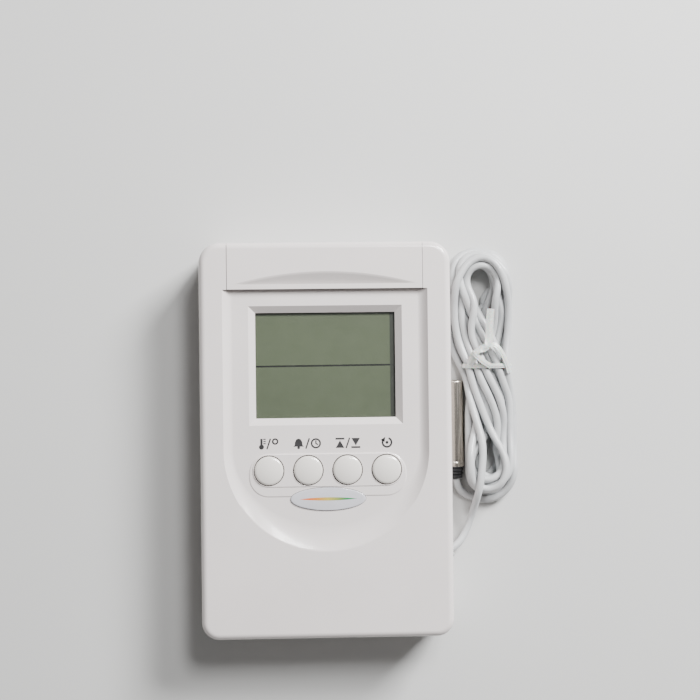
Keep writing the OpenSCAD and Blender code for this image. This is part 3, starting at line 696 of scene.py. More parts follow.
def keep_outside(points, free, in_hank):
    """Holds points in the tie and the hank's space, on the floor, and off the housing and the probe."""
    order = np.arange(len(points))
    at_gland, last_run, in_seal = 6, 50, 8      # numbers of points that some of the limits leave alone
    held = in_hank & (abs(points[:, 1] - WAIST[1]) < TIE_HALF)
    points[held, 0] = np.clip(points[held, 0], TIE_LEFT, TIE_RIGHT)
    points[held, 2] = np.minimum(points[held, 2], TIE_TOP)
    points[free, 2] = np.maximum(points[free, 2], CORD_D / 2)
    outside = free & (order > at_gland)
    right_side = np.where(order > len(points) - last_run, LAST_RIGHT, HANK_RIGHT)
    points[outside, 0] = np.clip(points[outside, 0], HANK_LEFT, right_side[outside])
    beside = in_hank & (points[:, 1] < BESIDE_Y)
    points[beside, 0] = np.maximum(points[beside, 0], BESIDE_X)
    points[free, 1] = np.minimum(points[free, 1], HANK_TOP)
    along = np.clip((points[:, 1] - PROBE_LOW[1]) / (PROBE_HIGH[1] - PROBE_LOW[1]), 0, 1)[:, None]
    away = points - (PROBE_LOW + along * (PROBE_HIGH - PROBE_LOW))
    far = np.linalg.norm(away, axis=1)
    inside = free & (far < PROBE_R + CORD_D / 2) & (order < len(points) - in_seal)
    points[inside] += away[inside] * ((PROBE_R + CORD_D / 2) / far[inside] - 1)[:, None]


def settled(line):
    """The cord as it lies: its length, stiffness and thickness, its weight, and what is round it."""
    points, steps = line.copy(), 260
    order = np.arange(len(points))
    rest = np.linalg.norm(np.diff(line, axis=0), axis=1).mean()
    free = (order > 3) & (order < len(points) - 3)
    in_hank = (order > LEAD_POINTS) & (order < len(points) - END_POINTS)
    sag, clear, near = 0.02 * MM, 1.02 * CORD_D, 1.75 * CORD_D
    bend_gap, bend_r = 6, 2.25 * CORD_D
    least_chord = 2 * bend_r * math.sin(bend_gap * rest / (2 * bend_r))
    for step in range(steps):
        points[free, 2] -= sag
        if step % 6 == 0:
            square = ((points[:, None] - points[None]) ** 2).sum(2)
            close_a, close_b = np.nonzero(np.triu(square < near**2, 4))
        for _ in range(4):
            keep_lengths(points, rest, free)
            push_apart(points, order[:-bend_gap], order[bend_gap:], least_chord, free, 0.75)
            even = (4 * (points[1:-3] + points[3:-1]) - points[:-4] - points[4:]) / 6
            points[2:-2] += 0.5 * (even - points[2:-2]) * free[2:-2, None]
            push_apart(points, close_a, close_b, clear, free, 0.9)
            keep_outside(points, free, in_hank)
    return points


def cord_line():
    """The cord's middle line from the gland to the probe, as evenly spaced points."""
    route = np.vstack([LEAD_ROUTE, JOIN_ROUTE, hank_route(), LEAVE_ROUTE, END_ROUTE[4::-1]])
    coarse, fine = 1.5 * MM, 0.8 * MM
    line = smooth_curve(route, coarse)
    line = settled(line)
    for _ in range(3):
        line[1:-1] += 0.5 * ((line[:-2] + line[2:]) / 2 - line[1:-1])
    return smooth_curve(line, fine)


def cord_curve(line):
    """The cord itself, round its middle line."""
    data = bpy.data.curves.new("probe_cord", "CURVE")
    data.dimensions = "3D"
    data.bevel_depth = CORD_D / 2
    data.bevel_resolution = 5
    data.use_fill_caps = True
    spline = data.splines.new("POLY")
    spline.points.add(len(line) - 1)
    spline.points.foreach_set("co", np.hstack([line, np.ones((len(line), 1))]).ravel())
    data.materials.append(cord_pvc)
    obj = placed("probe_cord", data)
    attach(obj, "housing")
    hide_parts("cord_lead", "cord_hank", "cord_end")
    return obj


cord_points = cord_line()
probe_cord = cord_curve(cord_points)


# ---- front cover ----

def ease(t):
    t = np.clip(t, 0, 1)
    return t * t * (3 - 2 * t)


def dish_inner_r(angle):
    """Radius of the floor's outline in the dish's round lower end."""
    side, end = DISH_R - DISH_SIDE_RUN, DISH_R - DISH_END_RUN
    return 1 / np.hypot(np.cos(angle) / side, np.sin(angle) / end)


def inside_field(x, y, half, r, centre_y):
    """How far inside a field with round corners, in the middle of the buttons, points are."""
    past = np.maximum(abs(np.stack([x - MIDDLE_X, y - centre_y])) - (half - r)[:, None], 0)
    return r - np.hypot(*past)


def relief(x, y):
    """Height of the front cover's outer face, in millimetres."""
    x, y = np.atleast_1d(np.asarray(x, float)), np.atleast_1d(np.asarray(y, float))
    below = y < DISH_ARC_Y
    angle = np.arctan2(y - DISH_ARC_Y, x)
    run = np.where(below, DISH_R - dish_inner_r(angle), DISH_SIDE_RUN)
    out = np.where(below, np.hypot(x, y - DISH_ARC_Y), abs(x))
    wall = np.minimum((DISH_R - out) / run, (DOOR_Y - y) / DISH_TOP_RUN)
    wall = np.clip(wall, 0, 1)
    z = RIM_Z - DISH_DEPTH * (0.8 * wall * (2 - wall) + 0.2 * ease(wall))
    z += PLATEAU_RISE * ease(inside_field(x, y, PLATEAU_HALF, PLATEAU_R, PLATEAU_Y) / PLATEAU_EDGE)
    z += PAD_RISE * ease(inside_field(x, y, PAD_HALF, PAD_R, BUTTON_Y) / PAD_EDGE)
    badge = np.hypot((x - MIDDLE_X) / BADGE_AXES[0], (y - BADGE_Y) / BADGE_AXES[1])
    z = np.where(badge < 0.999, BADGE_SEAT_Z, z)
    for centre in BUTTON_XS:
        past = np.clip(HOLE_R + HOLE_EDGE - np.hypot(x - centre, y - BUTTON_Y), 0, 0.98 * HOLE_EDGE)
        z -= HOLE_EDGE - np.sqrt(HOLE_EDGE**2 - past**2)
    bevel = np.maximum(abs(x) - VIEW_HALF[0], abs(y - VIEW_Y) - VIEW_HALF[1]) / BEVEL_RUN
    bevel_z = BEVEL_LOW_Z + (DISH_Z - BEVEL_LOW_Z) * np.clip(bevel, 0, 1)
    return np.where(bevel < 1, bevel_z, z)


def rounded(half, centre, radii, inset, steps=14):
    """A rectangle moved in by inset, anticlockwise. radii are those of its upper and its lower corners."""
    points = []
    for k, (side, end) in enumerate(((1, 1), (-1, 1), (-1, -1), (1, -1))):
        r = radii[k // 2]
        middle = (centre[0] + side * (half[0] - r), centre[1] + end * (half[1] - r))
        points += arc(middle, r - inset, 90 * k, 90 * k + 90, steps)
    return points


def outline(inset):
    """The housing's outline moved in by inset."""
    return rounded((HALF_W, HALF_H), (0, 0), CORNERS, inset, 16)


def view_loop(out, steps=12):
    """The display opening's edge moved out by out, with steps points on each side."""
    half = VIEW_HALF + out
    corners = [(half[0] * a, VIEW_Y + half[1] * b) for a, b in ((1, -1), (1, 1), (-1, 1), (-1, -1))]
    return [
        (a[0] + (b[0] - a[0]) * k / steps, a[1] + (b[1] - a[1]) * k / steps)
        for a, b in zip(corners, corners[1:] + corners[:1]) for k in range(steps)
    ]


def circle(centre, radii, count=64):
    turns = np.arange(count) * 2 * math.pi / count
    return [(centre[0] + radii[0] * math.cos(a), centre[1] + radii[1] * math.sin(a)) for a in turns]


def button_loops(out):
    """The four button holes' edges, moved out by out."""
    return [circle((x, BUTTON_Y), (HOLE_R + out, HOLE_R + out)) for x in BUTTON_XS]


def dish_loop(t):
    """The line in the dish's wall at share t of the way from its rim to its floor."""
    half, top = DISH_R - DISH_SIDE_RUN * t, DOOR_Y - DISH_TOP_RUN * t
    ys = np.linspace(top, DISH_ARC_Y, 30)
    points = [(-half, y) for y in ys[:-1]]
    for a in np.linspace(math.pi, 2 * math.pi, 97):
        r = DISH_R - t * (DISH_R - dish_inner_r(a))
        points.append((r * math.cos(a), DISH_ARC_Y + r * math.sin(a)))
    points += [(half, y) for y in ys[::-1][1:]]
    return points + [(x, top) for x in np.linspace(half, -half, 30)[1:-1]]


def triangulated(loops, cuts):
    """Triangles over the first loop, along all of the loops, without what a cut says is a hole."""
    points, edges = [], []
    for loop in loops:
        first = len(points)
        points += [Vector(p) for p in loop]
        edges += [(first + k, first + (k + 1) % len(loop)) for k in range(len(loop))]
    places, _, faces, *_ = delaunay_2d_cdt(points, edges, [], 0, 1e-5)
    places = np.array([tuple(p) for p in places])
    kept = []
    for face in faces:
        x, y = places[list(face)].mean(0)
        if not any(cut(x, y) for cut in cuts):
            kept.append(tuple(face))
    return places, kept


def outlines(levels):
    """The housing's outline at (inset, height) levels."""
    return [[(x, y, z) for x, y in outline(inset)] for inset, z in levels]


def hole_wall(loop):
    """The wall of a hole from the front face down to the underside."""
    tops = relief([p[0] for p in loop], [p[1] for p in loop])
    return wall_through([[(x, y, z) for (x, y), z in zip(loop, tops)], [(x, y, UNDER_Z) for x, y in loop]])


def in_view(x, y):
    return abs(x) < VIEW_HALF[0] and abs(y - VIEW_Y) < VIEW_HALF[1]


def in_button(x, y):
    off_centre = min(math.hypot(x - centre, y - BUTTON_Y) for centre in BUTTON_XS)
    return off_centre < HOLE_R * math.cos(math.pi / 64)


def relief_loops():
    """The lines on the front face along which its height changes direction."""
    loops = [dish_loop(t) for t in (0, 0.08, 0.2, 0.35, 0.5, 0.65, 0.8, 0.92, 1)]
    loops += [view_loop(BEVEL_RUN * t) for t in (0.5, 1)]
    for out in (0.03, 0.08, HOLE_EDGE):
        loops += button_loops(out)
    for half, r, y, insets in (
        (PAD_HALF, PAD_R, BUTTON_Y, [PAD_EDGE * t for t in (0, 0.35, 0.65, 1)]),
        (PLATEAU_HALF, PLATEAU_R, PLATEAU_Y, [PLATEAU_EDGE * t for t in (0, 0.2, 0.4, 0.6, 0.8, 1)]),
    ):
        loops += [rounded(half, (MIDDLE_X, y), (r, r), inset) for inset in insets]
    return loops + [circle((MIDDLE_X, BADGE_Y), BADGE_AXES * t, 120) for t in (0.998, 1, 1.04)]


def door_cuts():
    """Corners of what the door needs out of the shell: its seat, the battery's well and two grooves."""
    well_half, well_low, well_high, well_floor = 26.05, 42.05, 53.2, 12
    seat_half, seat_z = DOOR_HALF + DOOR_GAP, RIM_Z - DOOR_T - DOOR_GAP
    past_end, past_face = HALF_H + 15, RIM_Z + 5
    groove_low = RAIL_LOW - (DOOR_GAP, 1, DOOR_GAP)
    groove_high = np.array([RAIL_HIGH[0] + DOOR_GAP, past_end, RAIL_HIGH[2] + 0.02])
    return [
        ((-seat_half, DOOR_Y - DOOR_GAP, seat_z), (seat_half, past_end, past_face)),
        ((-well_half, well_low, well_floor), (well_half, well_high, past_face)),
        *(on_side(groove_low, groove_high, side) for side in (-1, 1)),
    ]


def on_side(low, high, side):
    """The two corners of a box, or of its mirror image where side is -1."""
    corners = np.array([low, high]) * (side, 1, 1)
    return corners.min(0), corners.max(0)


def front_cover():
    """The moulded front: a rounded rim, the soft dish, the bevelled display opening and the button field."""
    holes = [view_loop(0), *button_loops(0)]
    places, faces = triangulated([outline(EDGE_R), *holes, *relief_loops()], [in_view, in_button])
    face = np.column_stack([places, relief(places[:, 0], places[:, 1])])
    places, under_faces = triangulated([outline(WALL), *holes], [in_view, in_button])
    under = np.column_stack([places, np.full(len(places), UNDER_Z)])
    turns = np.radians(range(90, -1, -10))
    levels = [(EDGE_R * (1 - math.cos(a)), RIM_Z - EDGE_R + EDGE_R * math.sin(a)) for a in turns]
    lower_edge = ((0, 0.3), (0.04, 0.12), (0.12, 0.04), (0.3, 0), (0.8, 0), (0.8, 1.1), (WALL, 1.1))
    levels += [(inset, PARTING_Z + above) for inset, above in lower_edge] + [(WALL, UNDER_Z)]
    side = wall_through(outlines(levels))
    shell = welded((face, faces), (under, under_faces), side, *map(hole_wall, holes))
    for low, high in door_cuts():
        shell = combined(shell, box(low, high), "DIFFERENCE")
    inside = lofted(outlines([(WALL + 0.03, COVER_LOW[2] - 1), (WALL + 0.03, UNDER_Z - 0.001)]))
    fittings = combined(cad_copy("front_cover"), inside, "INTERSECT")
    return piece("front_shell", joined(shell, fittings), white_plastic, ["front_cover"])


front_cover()

# ---- rear cover, stand and door ----

def rear_cover():
    """The moulded back, trimmed to a finer outline: rounded at the back, with broken edges in front."""
    slack, back_r, break_r, lip = 0.02, 1.2, 0.3, WALL / 2
    back, front = np.radians(range(0, 91, 10)), np.radians(range(0, 91, 30))
    levels = [(back_r * (1 - math.sin(a)), back_r * (1 - math.cos(a))) for a in back]
    levels += [(break_r * (1 - math.cos(a)), PARTING_Z - break_r * (1 - math.sin(a))) for a in front]
    levels += [(lip, PARTING_Z), (lip, PARTING_Z + 0.8), (lip + 0.2, PARTING_Z + 1)]
    envelope = lofted(outlines([(inset + slack, abs(z - slack)) for inset, z in levels]))
    mesh = combined(envelope, cad_copy("rear_cover"), "INTERSECT")
    return piece("rear_shell", mesh, white_matt, ["rear_cover"])


rear_cover()


def stand():
    """The fold-out leg: a rounded plate with a shallow panel in it, on a barrel with a pivot at each end."""
    low, high = corners_of("stand")
    pivot_l, barrel_r, pivot_r, axis_z, edge = 1.9, 1.4, 1.0, 1.6, 0.2
    plate_low, plate_high, panel_high, frame_w = 0.1, 2.3, 0.8, 3.7
    half, axis_y = high[0] - pivot_l, high[1] - barrel_r
    plate = bevelled(box((-half, low[1], plate_low), (half, axis_y, plate_high)), 0.35)
    panel = box((frame_w - half, low[1] + 7, -1), (half - frame_w, axis_y - 5, panel_high))
    plate = combined(plate, bevelled(panel, 0.3), "DIFFERENCE")
    profile = [(0, -high[0]), (pivot_r - edge, -high[0]), (pivot_r, edge - high[0]), (pivot_r, -half)]
    profile += [(barrel_r - edge, -half), (barrel_r, edge - half)]
    profile += [(r, -x) for r, x in profile[::-1]]
    barrel = lathe(profile, (0, axis_y, axis_z), (1, 0, 0), 48)
    mesh = combined(plate, barrel, "UNION")
    return piece("stand_plate", mesh, white_matt, ["stand"], body="stand_leg")


stand()


def battery_door():
    """The sliding door: the housing's rounded end, rails at both sides and a scoop for the thumb."""
    profile = [(DOOR_Y, RIM_Z - DOOR_T), (DOOR_Y, RIM_Z)]
    profile += arc((HALF_H - EDGE_R, RIM_Z - EDGE_R), EDGE_R, 90, 0, 10)
    panel = bevelled(lofted([[(x, y, z) for y, z in profile] for x in (-DOOR_HALF, DOOR_HALF)]), 0.15)
    scoop_r = (SCOOP_HALF**2 + SCOOP_H**2) / (2 * SCOOP_H)
    sections = []
    for x in np.linspace(-SCOOP_HALF + 0.1, SCOOP_HALF - 0.1, 61):
        reach = math.sqrt(scoop_r**2 - x**2) - (scoop_r - SCOOP_H)
        depth = SCOOP_DEPTH * reach / SCOOP_H
        slope = [(x, SCOOP_Y + reach * (1 - t), RIM_Z - depth * t) for t in (-0.1, 0.15, 0.5, 0.9, 1)]
        sections.append(slope + [(x, SCOOP_Y, RIM_Z + 1), (x, SCOOP_Y + 1.1 * reach, RIM_Z + 1)])
    panel = combined(panel, lofted(sections), "DIFFERENCE")
    rails = [bevelled(box(*on_side(RAIL_LOW, RAIL_HIGH, side)), 0.15) for side in (-1, 1)]
    mesh = joined(panel, *rails)
    return piece("door_panel", mesh, door_plastic, ["battery_door"], body="door", angle=16)


battery_door()


def name_badge():
    """A slightly domed oval plate with a rounded edge."""
    foot, top, crown, edge, gap = 18.05, 18.78, 0.12, 0.3, 0.12
    half_x, half_y = BADGE_AXES - gap
    profile = [(0, foot), (half_x, foot)] + arc((half_x - edge, top - edge), edge, 0, 80, 6)
    profile += [(r, top + crown * (1 - (r / half_x) ** 2)) for r in np.linspace(half_x - edge, 0, 14)]
    mesh = lathe(profile, sides=128)
    mesh.transform(Matrix.Diagonal((1, half_y / half_x, 1, 1)))
    mesh.transform(Matrix.Translation(Vector((MIDDLE_X, BADGE_Y, 0)) * MM))
    return piece("oval_badge", mesh, badge_satin, ["name_badge"])


def button(x, name):
    """A domed cap with its flange and stem."""
    edge_z, dome, r, edge = 19.3, 0.6, 4.0, 0.35
    crown_r = (r**2 + dome**2) / (2 * dome)
    profile = [(0, 14), (2.2, 14), (2.4, 14.2), (2.4, 15.5)]                # stem
    profile += [(4.9, 15.5), (5, 15.6), (5, 16.4), (4.9, 16.5), (4, 16.5)]  # flange
    profile += arc((r - edge, edge_z - edge), edge, 0, 65, 7)
    crown = np.linspace(profile[-1][0], 0, 18)[1:]
    profile += [(a, edge_z + dome - crown_r + math.sqrt(crown_r**2 - a**2)) for a in crown]
    mesh = lathe(profile, (x, BUTTON_Y, 0), sides=96)
    node, body = name + "_button", name + "_key"
    return piece(name + "_cap", mesh, button_plastic, [node], body=body)


def pill(x, name):
    """The conducting disc under a button."""
    profile = [(0, 12.7), (1.4, 12.7), (1.5, 12.8), (1.5, 13.2), (1.4, 13.3), (0, 13.3)]
    mesh, node = lathe(profile, (x, BUTTON_Y, 0), sides=40), name + "_pill"
    body = nodes[node]["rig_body"]
    return piece(name + "_contact", mesh, conductive, [node], body=body)


def keypad_sheet():
    """The rubber mat's flat part, with a hole under each dome."""
    low, high = corners_of("keypad_mat")
    flat_part = box(low - 1, (high[0] + 1, high[1] + 1, MAT_TOP_Z))
    mesh = bevelled(combined(cad_copy("keypad_mat"), flat_part, "INTERSECT"), 0.1)
    return piece("keypad_sheet", mesh, silicone, ["keypad_mat"])


def dome(x, name):
    """The mat's dome under one button, on a mesh of its own. The real dome flattens as that button goes
    down.
    """
    place = (x, BUTTON_Y, MAT_TOP_Z)
    profile = [(0, 1.38), (2.55, 1.38), (2.75, 1.3), (4.15, 0.05), (4.15, 0), (3.2, 0), (1.9, 0.7), (0, 0.7)]
    obj = piece(name + "_dome", lathe(profile, place, sides=56), silicone)
    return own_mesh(obj)


name_badge()
keypad_sheet()
for x, name in zip(BUTTON_XS, ("units", "alert", "max_min", "reset")):
    button(x, name)
    pill(x, name)
    dome(x, name)


# ---- printed symbols above the buttons ----

SYMBOL_Y = -0.95
INK_Z = DISH_Z + 0.005
INK_T = 0.02


def stroke(points, width):
    """A flat printed line through (x, y) points, in millimetres."""
    line = [Vector((x, y, INK_Z)) * MM for x, y in points]
    half, t = width / 2 * MM, INK_T * MM
    return swept(line, [(-half, 0), (half, 0), (half, t), (-half, t)], np.tile([0, 0, 1.0], (len(line), 1)))


def filled(points):
    """A flat printed patch."""
    return lofted([[(x, y, z) for x, y in points] for z in (INK_Z, INK_Z + INK_T)])


def disc(centre, radius):
    return filled(arc(centre, radius, 0, 360, 24)[:-1])


def ring(centre, radius, width):
    return stroke(arc(centre, radius, 0, 360, 24), width)


def scale_marks(x, y):
    """A thermometer, a slash and a degree ring."""
    marks = [stroke([(x - 2, y - 0.8), (x - 2, y + 1.45)], 0.62), disc((x - 2, y - 0.85), 0.7)]
    marks += [stroke([(x - 1.5, y + h), (x - 0.8, y + h)], 0.3) for h in (0.1, 0.7, 1.3)]
    return marks + [slash(x, y), ring((x + 1.8, y + 0.65), 0.68, 0.44)]


def bell_marks(x, y):
    """A bell, a slash and a clock."""
    right = [(1.45, -0.85), (1.1, -0.45), (1, 0.45), (0.6, 1.15), (0, 1.4)]
    bell = right + [(-a, b) for a, b in right[-2::-1]]
    hands = [(x + 2.3, y + 0.8), (x + 2.3, y - 0.05), (x + 2.9, y - 0.35)]
    marks = [filled([(x - 2.5 + a, y + b) for a, b in bell]), disc((x - 2.5, y - 1.15), 0.4)]
    return marks + [slash(x, y), ring((x + 2.3, y), 1.2, 0.46), stroke(hands, 0.38)]


def peak_marks(x, y):
    """Triangles that point at a lower and at an upper bar, and a slash."""
    marks = [slash(x, y)]
    for side in (-1, 1):
        middle, base, tip, bar = x + side * 2.2, y + side * 1.35, y - side * 0.75, y - side * 1.2
        marks.append(filled([(middle - 1.2, base), (middle + 1.2, base), (middle, tip)]))
        marks.append(stroke([(middle - 1.25, bar), (middle + 1.25, bar)], 0.48))
    return marks


def clear_marks(x, y):
    """An arrow round a dot."""
    start = 140
    tip_x, tip_y = arc((x, y), 1.25, start, start, 1)[0]
    head = [(tip_x - 0.85, tip_y - 0.1), (tip_x + 0.3, tip_y - 0.65), (tip_x + 0.5, tip_y + 0.75)]
    return [stroke(arc((x, y), 1.25, start, start + 290, 30), 0.52), disc((x, y), 0.42), filled(head)]


def slash(x, y):
    return stroke([(x - 0.5, y - 1.45), (x + 0.5, y + 1.45)], 0.4)


def symbols():
    """Plain pictures for the four buttons: scale, bell and clock, highest and lowest, and clear."""
    marks = []
    pictures = ((scale_marks, 0), (bell_marks, -0.1), (peak_marks, 0.2), (clear_marks, 0.2))
    for button_x, (draw, aside) in zip(BUTTON_XS, pictures):
        marks += draw(button_x + aside, SYMBOL_Y)
    return piece("button_symbols", joined(*marks), print_ink)


symbols()

# ---- display, electronics and fasteners ----

for node, material, slot, width in (
    ("display_window", clear_window, "clear_window", 0.1),
    ("display_gasket", black_foam, "black_foam", 0.08),
    ("lcd_front_polariser", lcd_film, "polariser", 0.03), ("lcd_front_glass", lcd_glass, "lcd_glass", 0.08),
    ("lcd_rear_glass", lcd_glass, "lcd_glass", 0.08), ("lcd_reflector", reflector, "reflector", 0.03),
    ("contact_strip_upper", contact_rubber, "conductive_rubber", 0.1),
    ("contact_strip_lower", contact_rubber, "conductive_rubber", 0.1),
    ("circuit_board", solder_mask, "board", 0.1), ("chip_cover", epoxy, "epoxy", 0.05),
    ("crystal", bright_metal, "bright_steel", 0.05), ("resistors", ceramic_black, "ceramic_black", 0.06),
    ("capacitors", ceramic_brown, "ceramic_brown", 0.08), ("indoor_sensor", epoxy, "epoxy", 0.04),
    ("battery_contact", bright_metal, "bright_steel", 0.06), ("buzzer_disc", brass, "brass_disc", 0.05),
    ("buzzer_ceramic", piezo, "piezo_ceramic", 0.05), ("housing_screws", bright_metal, "bright_steel", 0.05),
    ("board_screws", bright_metal, "bright_steel", 0.05), ("cable_stop", black_rubber, "black_rubber", 0.2),
    ("probe_sensor", epoxy, "epoxy", 0.05),
):
    moulded(node, material, width)

for node, material, slot in (
    ("battery_spring", bright_metal, "bright_steel"), ("battery_lead_red", red_pvc, "red_wire"),
    ("battery_lead_black", black_pvc, "black_wire"), ("buzzer_leads", yellow_pvc, "yellow_wire"),
    ("cable_tail", cord_pvc, "cable_plastic"),
):
    rounder = applied(cad_copy(node), ("SUBSURF", dict(levels=2, render_levels=2)))
    piece(node + "_detail", rounder, material, [node], angle=50)


def battery():
    """An AAA cell with its jacket rolled over both ends, a steel base and a steel nub."""
    low, high = corners_of("battery")
    middle, (length, _, height) = (low + high) / 2, high - low
    place, axis, r = (low[0], middle[1], middle[2]), (1, 0, 0), height / 2
    body_l, roll = length - 0.9, 0.5
    jacket = [(0, 0.05), (r - 1.3, 0.05), (r - roll, 0)] + arc((r - roll, roll), roll, -90, 0, 5)
    jacket += arc((r - roll, body_l - roll), roll, 0, 90, 5) + [(r - 1.4, body_l), (r - 1.5, body_l - 0.15)]
    jacket += [(r - 1.5, body_l - 0.4), (0, body_l - 0.4)]
    piece("battery_can", lathe(jacket, place, axis), battery_jacket, ["battery"])
    nub = [(0, body_l - 0.6), (3.4, body_l - 0.6), (3.3, body_l - 0.2), (2.1, body_l - 0.15), (1.9, body_l)]
    nub += [(1.9, length - 0.25)] + arc((1.65, length - 0.25), 0.25, 0, 90, 4) + [(0, length)]
    base = [(0, -0.02), (2.8, -0.02), (3, 0.03), (r - 1.3, 0.06), (r - 1.3, 0.3), (0, 0.3)]
    for name, profile in (("battery_nub", nub), ("battery_base", base)):
        piece(name, lathe(profile, place, axis, 48), bright_metal)


battery()

# ---- gland and probe ----

def gland():
    """The soft bush that the cable leaves through, with a lip outside and a flange inside."""
    place, leaving = (35, -33.3, 4.2), math.radians(30)
    bore, r, lip_r, mouth_r = CORD_D / 2 / MM + 0.04, 2.1, 0.5, 0.25
    profile = [(bore, -3.4), (r + 0.9, -3.4), (r + 0.9, -2.6), (r, -2.6), (r, 0.5)]
    profile += arc((r - lip_r, 0.7), lip_r, 0, 90, 6) + [(bore + mouth_r, 1.2)]
    profile += arc((bore + mouth_r, 0.95), mouth_r, 90, 180, 4) + [(bore, -3.4)]
    mesh = lathe(profile, place, (math.cos(leaving), math.sin(leaving), 0), 48)
    return piece("cable_bush", mesh, cord_pvc, ["cable_gland"])


def probe():
    """A drawn steel tube, closed at one end and crimped on its ribbed seal at the other."""
    low, high = corners_of("probe_tube")
    middle, (width, length, _) = (low + high) / 2, high - low
    place, axis, r = (middle[0], low[1], middle[2]), (0, 1, 0), width / 2
    groove, nose, wall = 0.12, 0.7, 0.35
    tube = [(r - wall, 0), (r - 0.1, 0), (r, 0.1), (r, 1.0)]
    tube += [(r - groove * math.sin(math.pi * t) ** 2, 1 + 1.1 * t) for t in np.linspace(0, 1, 9)]
    tube += [(r, length - nose)] + arc((r - nose, length - nose), nose, 0, 90, 8) + [(0, length)]
    tube += [(0, length - 0.4), (r - 0.8, length - 0.4), (r - wall, length - 0.9), (r - wall, 0)]
    sleeve = piece("probe_sleeve", lathe(tube, place, axis, 72), steel, ["probe_tube"])
    cord_r = CORD_D / 2 / MM
    seal = [(cord_r - 0.1, -3.5), (cord_r + 0.55, -3.5), (cord_r + 0.75, -3.3)]
    for k in range(3):
        wider, along = 0.12 * k, 0.95 * k
        seal += [(1.95 + wider, along - 3.1), (1.98 + wider, along - 2.55), (1.75 + 0.1 * k, along - 2.4)]
    seal += [(2.4, -0.25), (2.4, -0.02), (2.1, 0), (2.1, 6), (cord_r - 0.1, 6), (cord_r - 0.1, -3.5)]
    mesh = lathe(seal, place, axis, 56)
    return sleeve, piece("probe_stopper", mesh, black_rubber, ["probe_seal"])


cable_bush = gland()
probe_sleeve, probe_stopper = probe()

# ---- the tie round the hank ----

def ribbon(points, ups, width, thickness, closed=False):
    """A flat strip with a wire along its middle, through points in metres."""
    line = smooth_curve(points, 0.35 * MM)
    if closed:
        line = line[:-1]
    run, keys = np.linspace(0, 1, len(line)), np.linspace(0, 1, len(ups))
    up = np.stack([np.interp(run, keys, np.array(ups, float)[:, axis]) for axis in range(3)], axis=1)
    half, t = width / 2, thickness / 2
    lower = [(-half, -t * 0.4), (-half * 0.4, -t * 0.5), (-t, -t)]
    lower += [(-x, y) for x, y in lower[::-1]]
    return swept(line, lower + [(x, -y) for x, y in lower[::-1]], up, closed)


def bundle_hull(y, margin):
    """The tight loop round every strand that crosses y, as (x, z) points, clear of them by margin."""
    at = cord_points[abs(cord_points[:, 1] - y) < 0.9 * MM]
    at = at[at[:, 0] > WAIST[0] - 6 * MM][:, [0, 2]]
    turns = np.radians(np.arange(0, 360, 6))
    ways = np.stack([np.cos(turns), np.sin(turns)], axis=1)
    reach = (at @ ways.T).max(0) + CORD_D / 2 + margin
    pairs = [[k, (k + 1) % len(turns)] for k in range(len(turns))]          # neighbouring support lines meet
    return np.array([np.linalg.solve(ways[pair], reach[pair]) for pair in pairs]), at.mean(0)


# The tie's strips: width, and rows of a point (z from the band's top) and the direction that faces up there
TIE_STRIPS = (
    (2.2, [     # from the band's left up through the knot into the wide upright end
        (41.4, 20.4, -1.6, -0.6, 0, 1), (42.3, 22.2, 0, 0, 0.4, 1), (43, 23.6, 0.6, -0.7, 0.5, 0.6),
        (44.6, 24.8, 0.9, 0.2, -0.6, 1), (46.4, 25.6, 0.8, 0, 0, 1), (47.1, 28, 0.5, 0, 0, 1),
        (47.3, 32, 0.5, 0.15, 0, 1), (47.6, 36.3, 0.9, 0.2, 0, 1),
    ]),
    (1.5, [     # over the knot and down to the right
        (43.4, 22.6, 0.2, 0, 0, 1), (44.2, 24.4, 0.4, -0.3, 0.3, 1), (46, 25.7, 0.3, 0, 0.5, 1),
        (48.6, 26, 0.4, 0.3, 0.4, 1), (50.4, 24.2, 0.3, 0.4, 0.2, 1), (51.9, 21.4, -0.2, 0.5, 0, 1),
        (53.1, 18, -1, 0.6, 0, 1),
    ]),
    (1.5, [     # the crossing strand between the knot and the band
        (42.4, 24.2, 1, -0.5, 0, 1), (43.6, 22.7, 1, 0, 0.3, 1), (45.4, 21.2, 0.5, 0.3, 0, 1),
        (47.4, 20, 0.1, 0, 0, 1),
    ]),
)


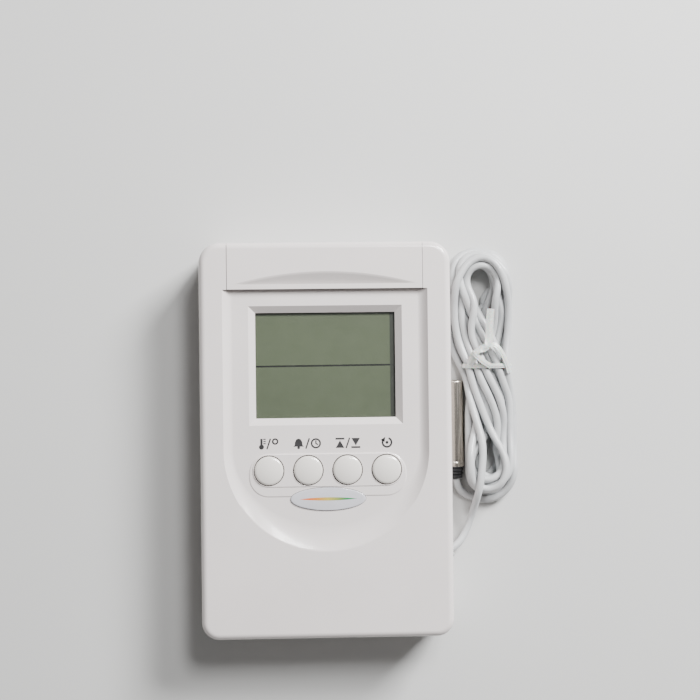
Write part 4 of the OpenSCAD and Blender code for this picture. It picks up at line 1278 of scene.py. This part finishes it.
def tie():
    """A plastic-coated wire tie: one band round the bundle, a twist on top and two free ends."""
    y = WAIST[1]
    hull, centre = bundle_hull(y, 0.3 * MM)
    hull[:, 1] = np.maximum(hull[:, 1], 0.3 * MM)
    loop = np.stack([hull[:, 0], np.full(len(hull), y), hull[:, 1]], axis=1)
    loop = np.vstack([loop, loop[:1]])
    outward = loop - np.array([centre[0], y, centre[1]])
    outward[:, 1] = 0
    outward /= np.linalg.norm(outward, axis=1)[:, None]
    parts = [ribbon(loop, outward, 1.3 * MM, 0.45 * MM, closed=True)]
    top = np.array([0, 0, hull[:, 1].max() / MM + 0.3, 0, 0, 0])
    for width, rows in TIE_STRIPS:
        rows = np.array(rows) + top
        parts.append(ribbon(rows[:, :3] * MM, rows[:, 3:], width * MM, 0.5 * MM))
    return piece("twist_tie", joined(*parts), tie_film, ["cord_tie"], angle=40)


twist_tie = tie()

# ---- floor and light ----

def stage():
    """A pale floor just under the part."""
    made = Surface("pale_floor")
    made.colour(made.mottled((0.6, 0.6, 0.59), 6, 0.02))
    made.gloss(0.6, 0.05, 40)
    corners = [(x, y, -0.05 * MM) for x, y in ((-2, -2), (2, -2), (2, 2), (-2, 2))]
    floor = placed("floor", mesh_of(corners, [(0, 1, 2, 3)]))
    floor.data.materials.append(made.material)


def area_light(name, place, size, power):
    """A square light that faces the origin."""
    data = bpy.data.lights.new(name, "AREA")
    data.shape = "SQUARE"
    data.size = size
    data.energy = power
    light = placed(name, data)
    light.location = place
    light.rotation_euler = (-Vector(place)).to_track_quat("-Z", "Y").to_euler()


stage()
area_light("key", (0.44, 0.48, 0.46), 0.26, 17)
area_light("overhead", (0.17, 0.35, 0.62), 0.16, 3.5)
world = bpy.data.worlds.new("studio")
world.use_nodes = True
world.node_tree.nodes["Background"].inputs["Color"].default_value = (1, 0.985, 0.98, 1)
world.node_tree.nodes["Background"].inputs["Strength"].default_value = 0.22
bpy.context.scene.world = world

# ---- last update ----

bpy.context.view_layer.update()
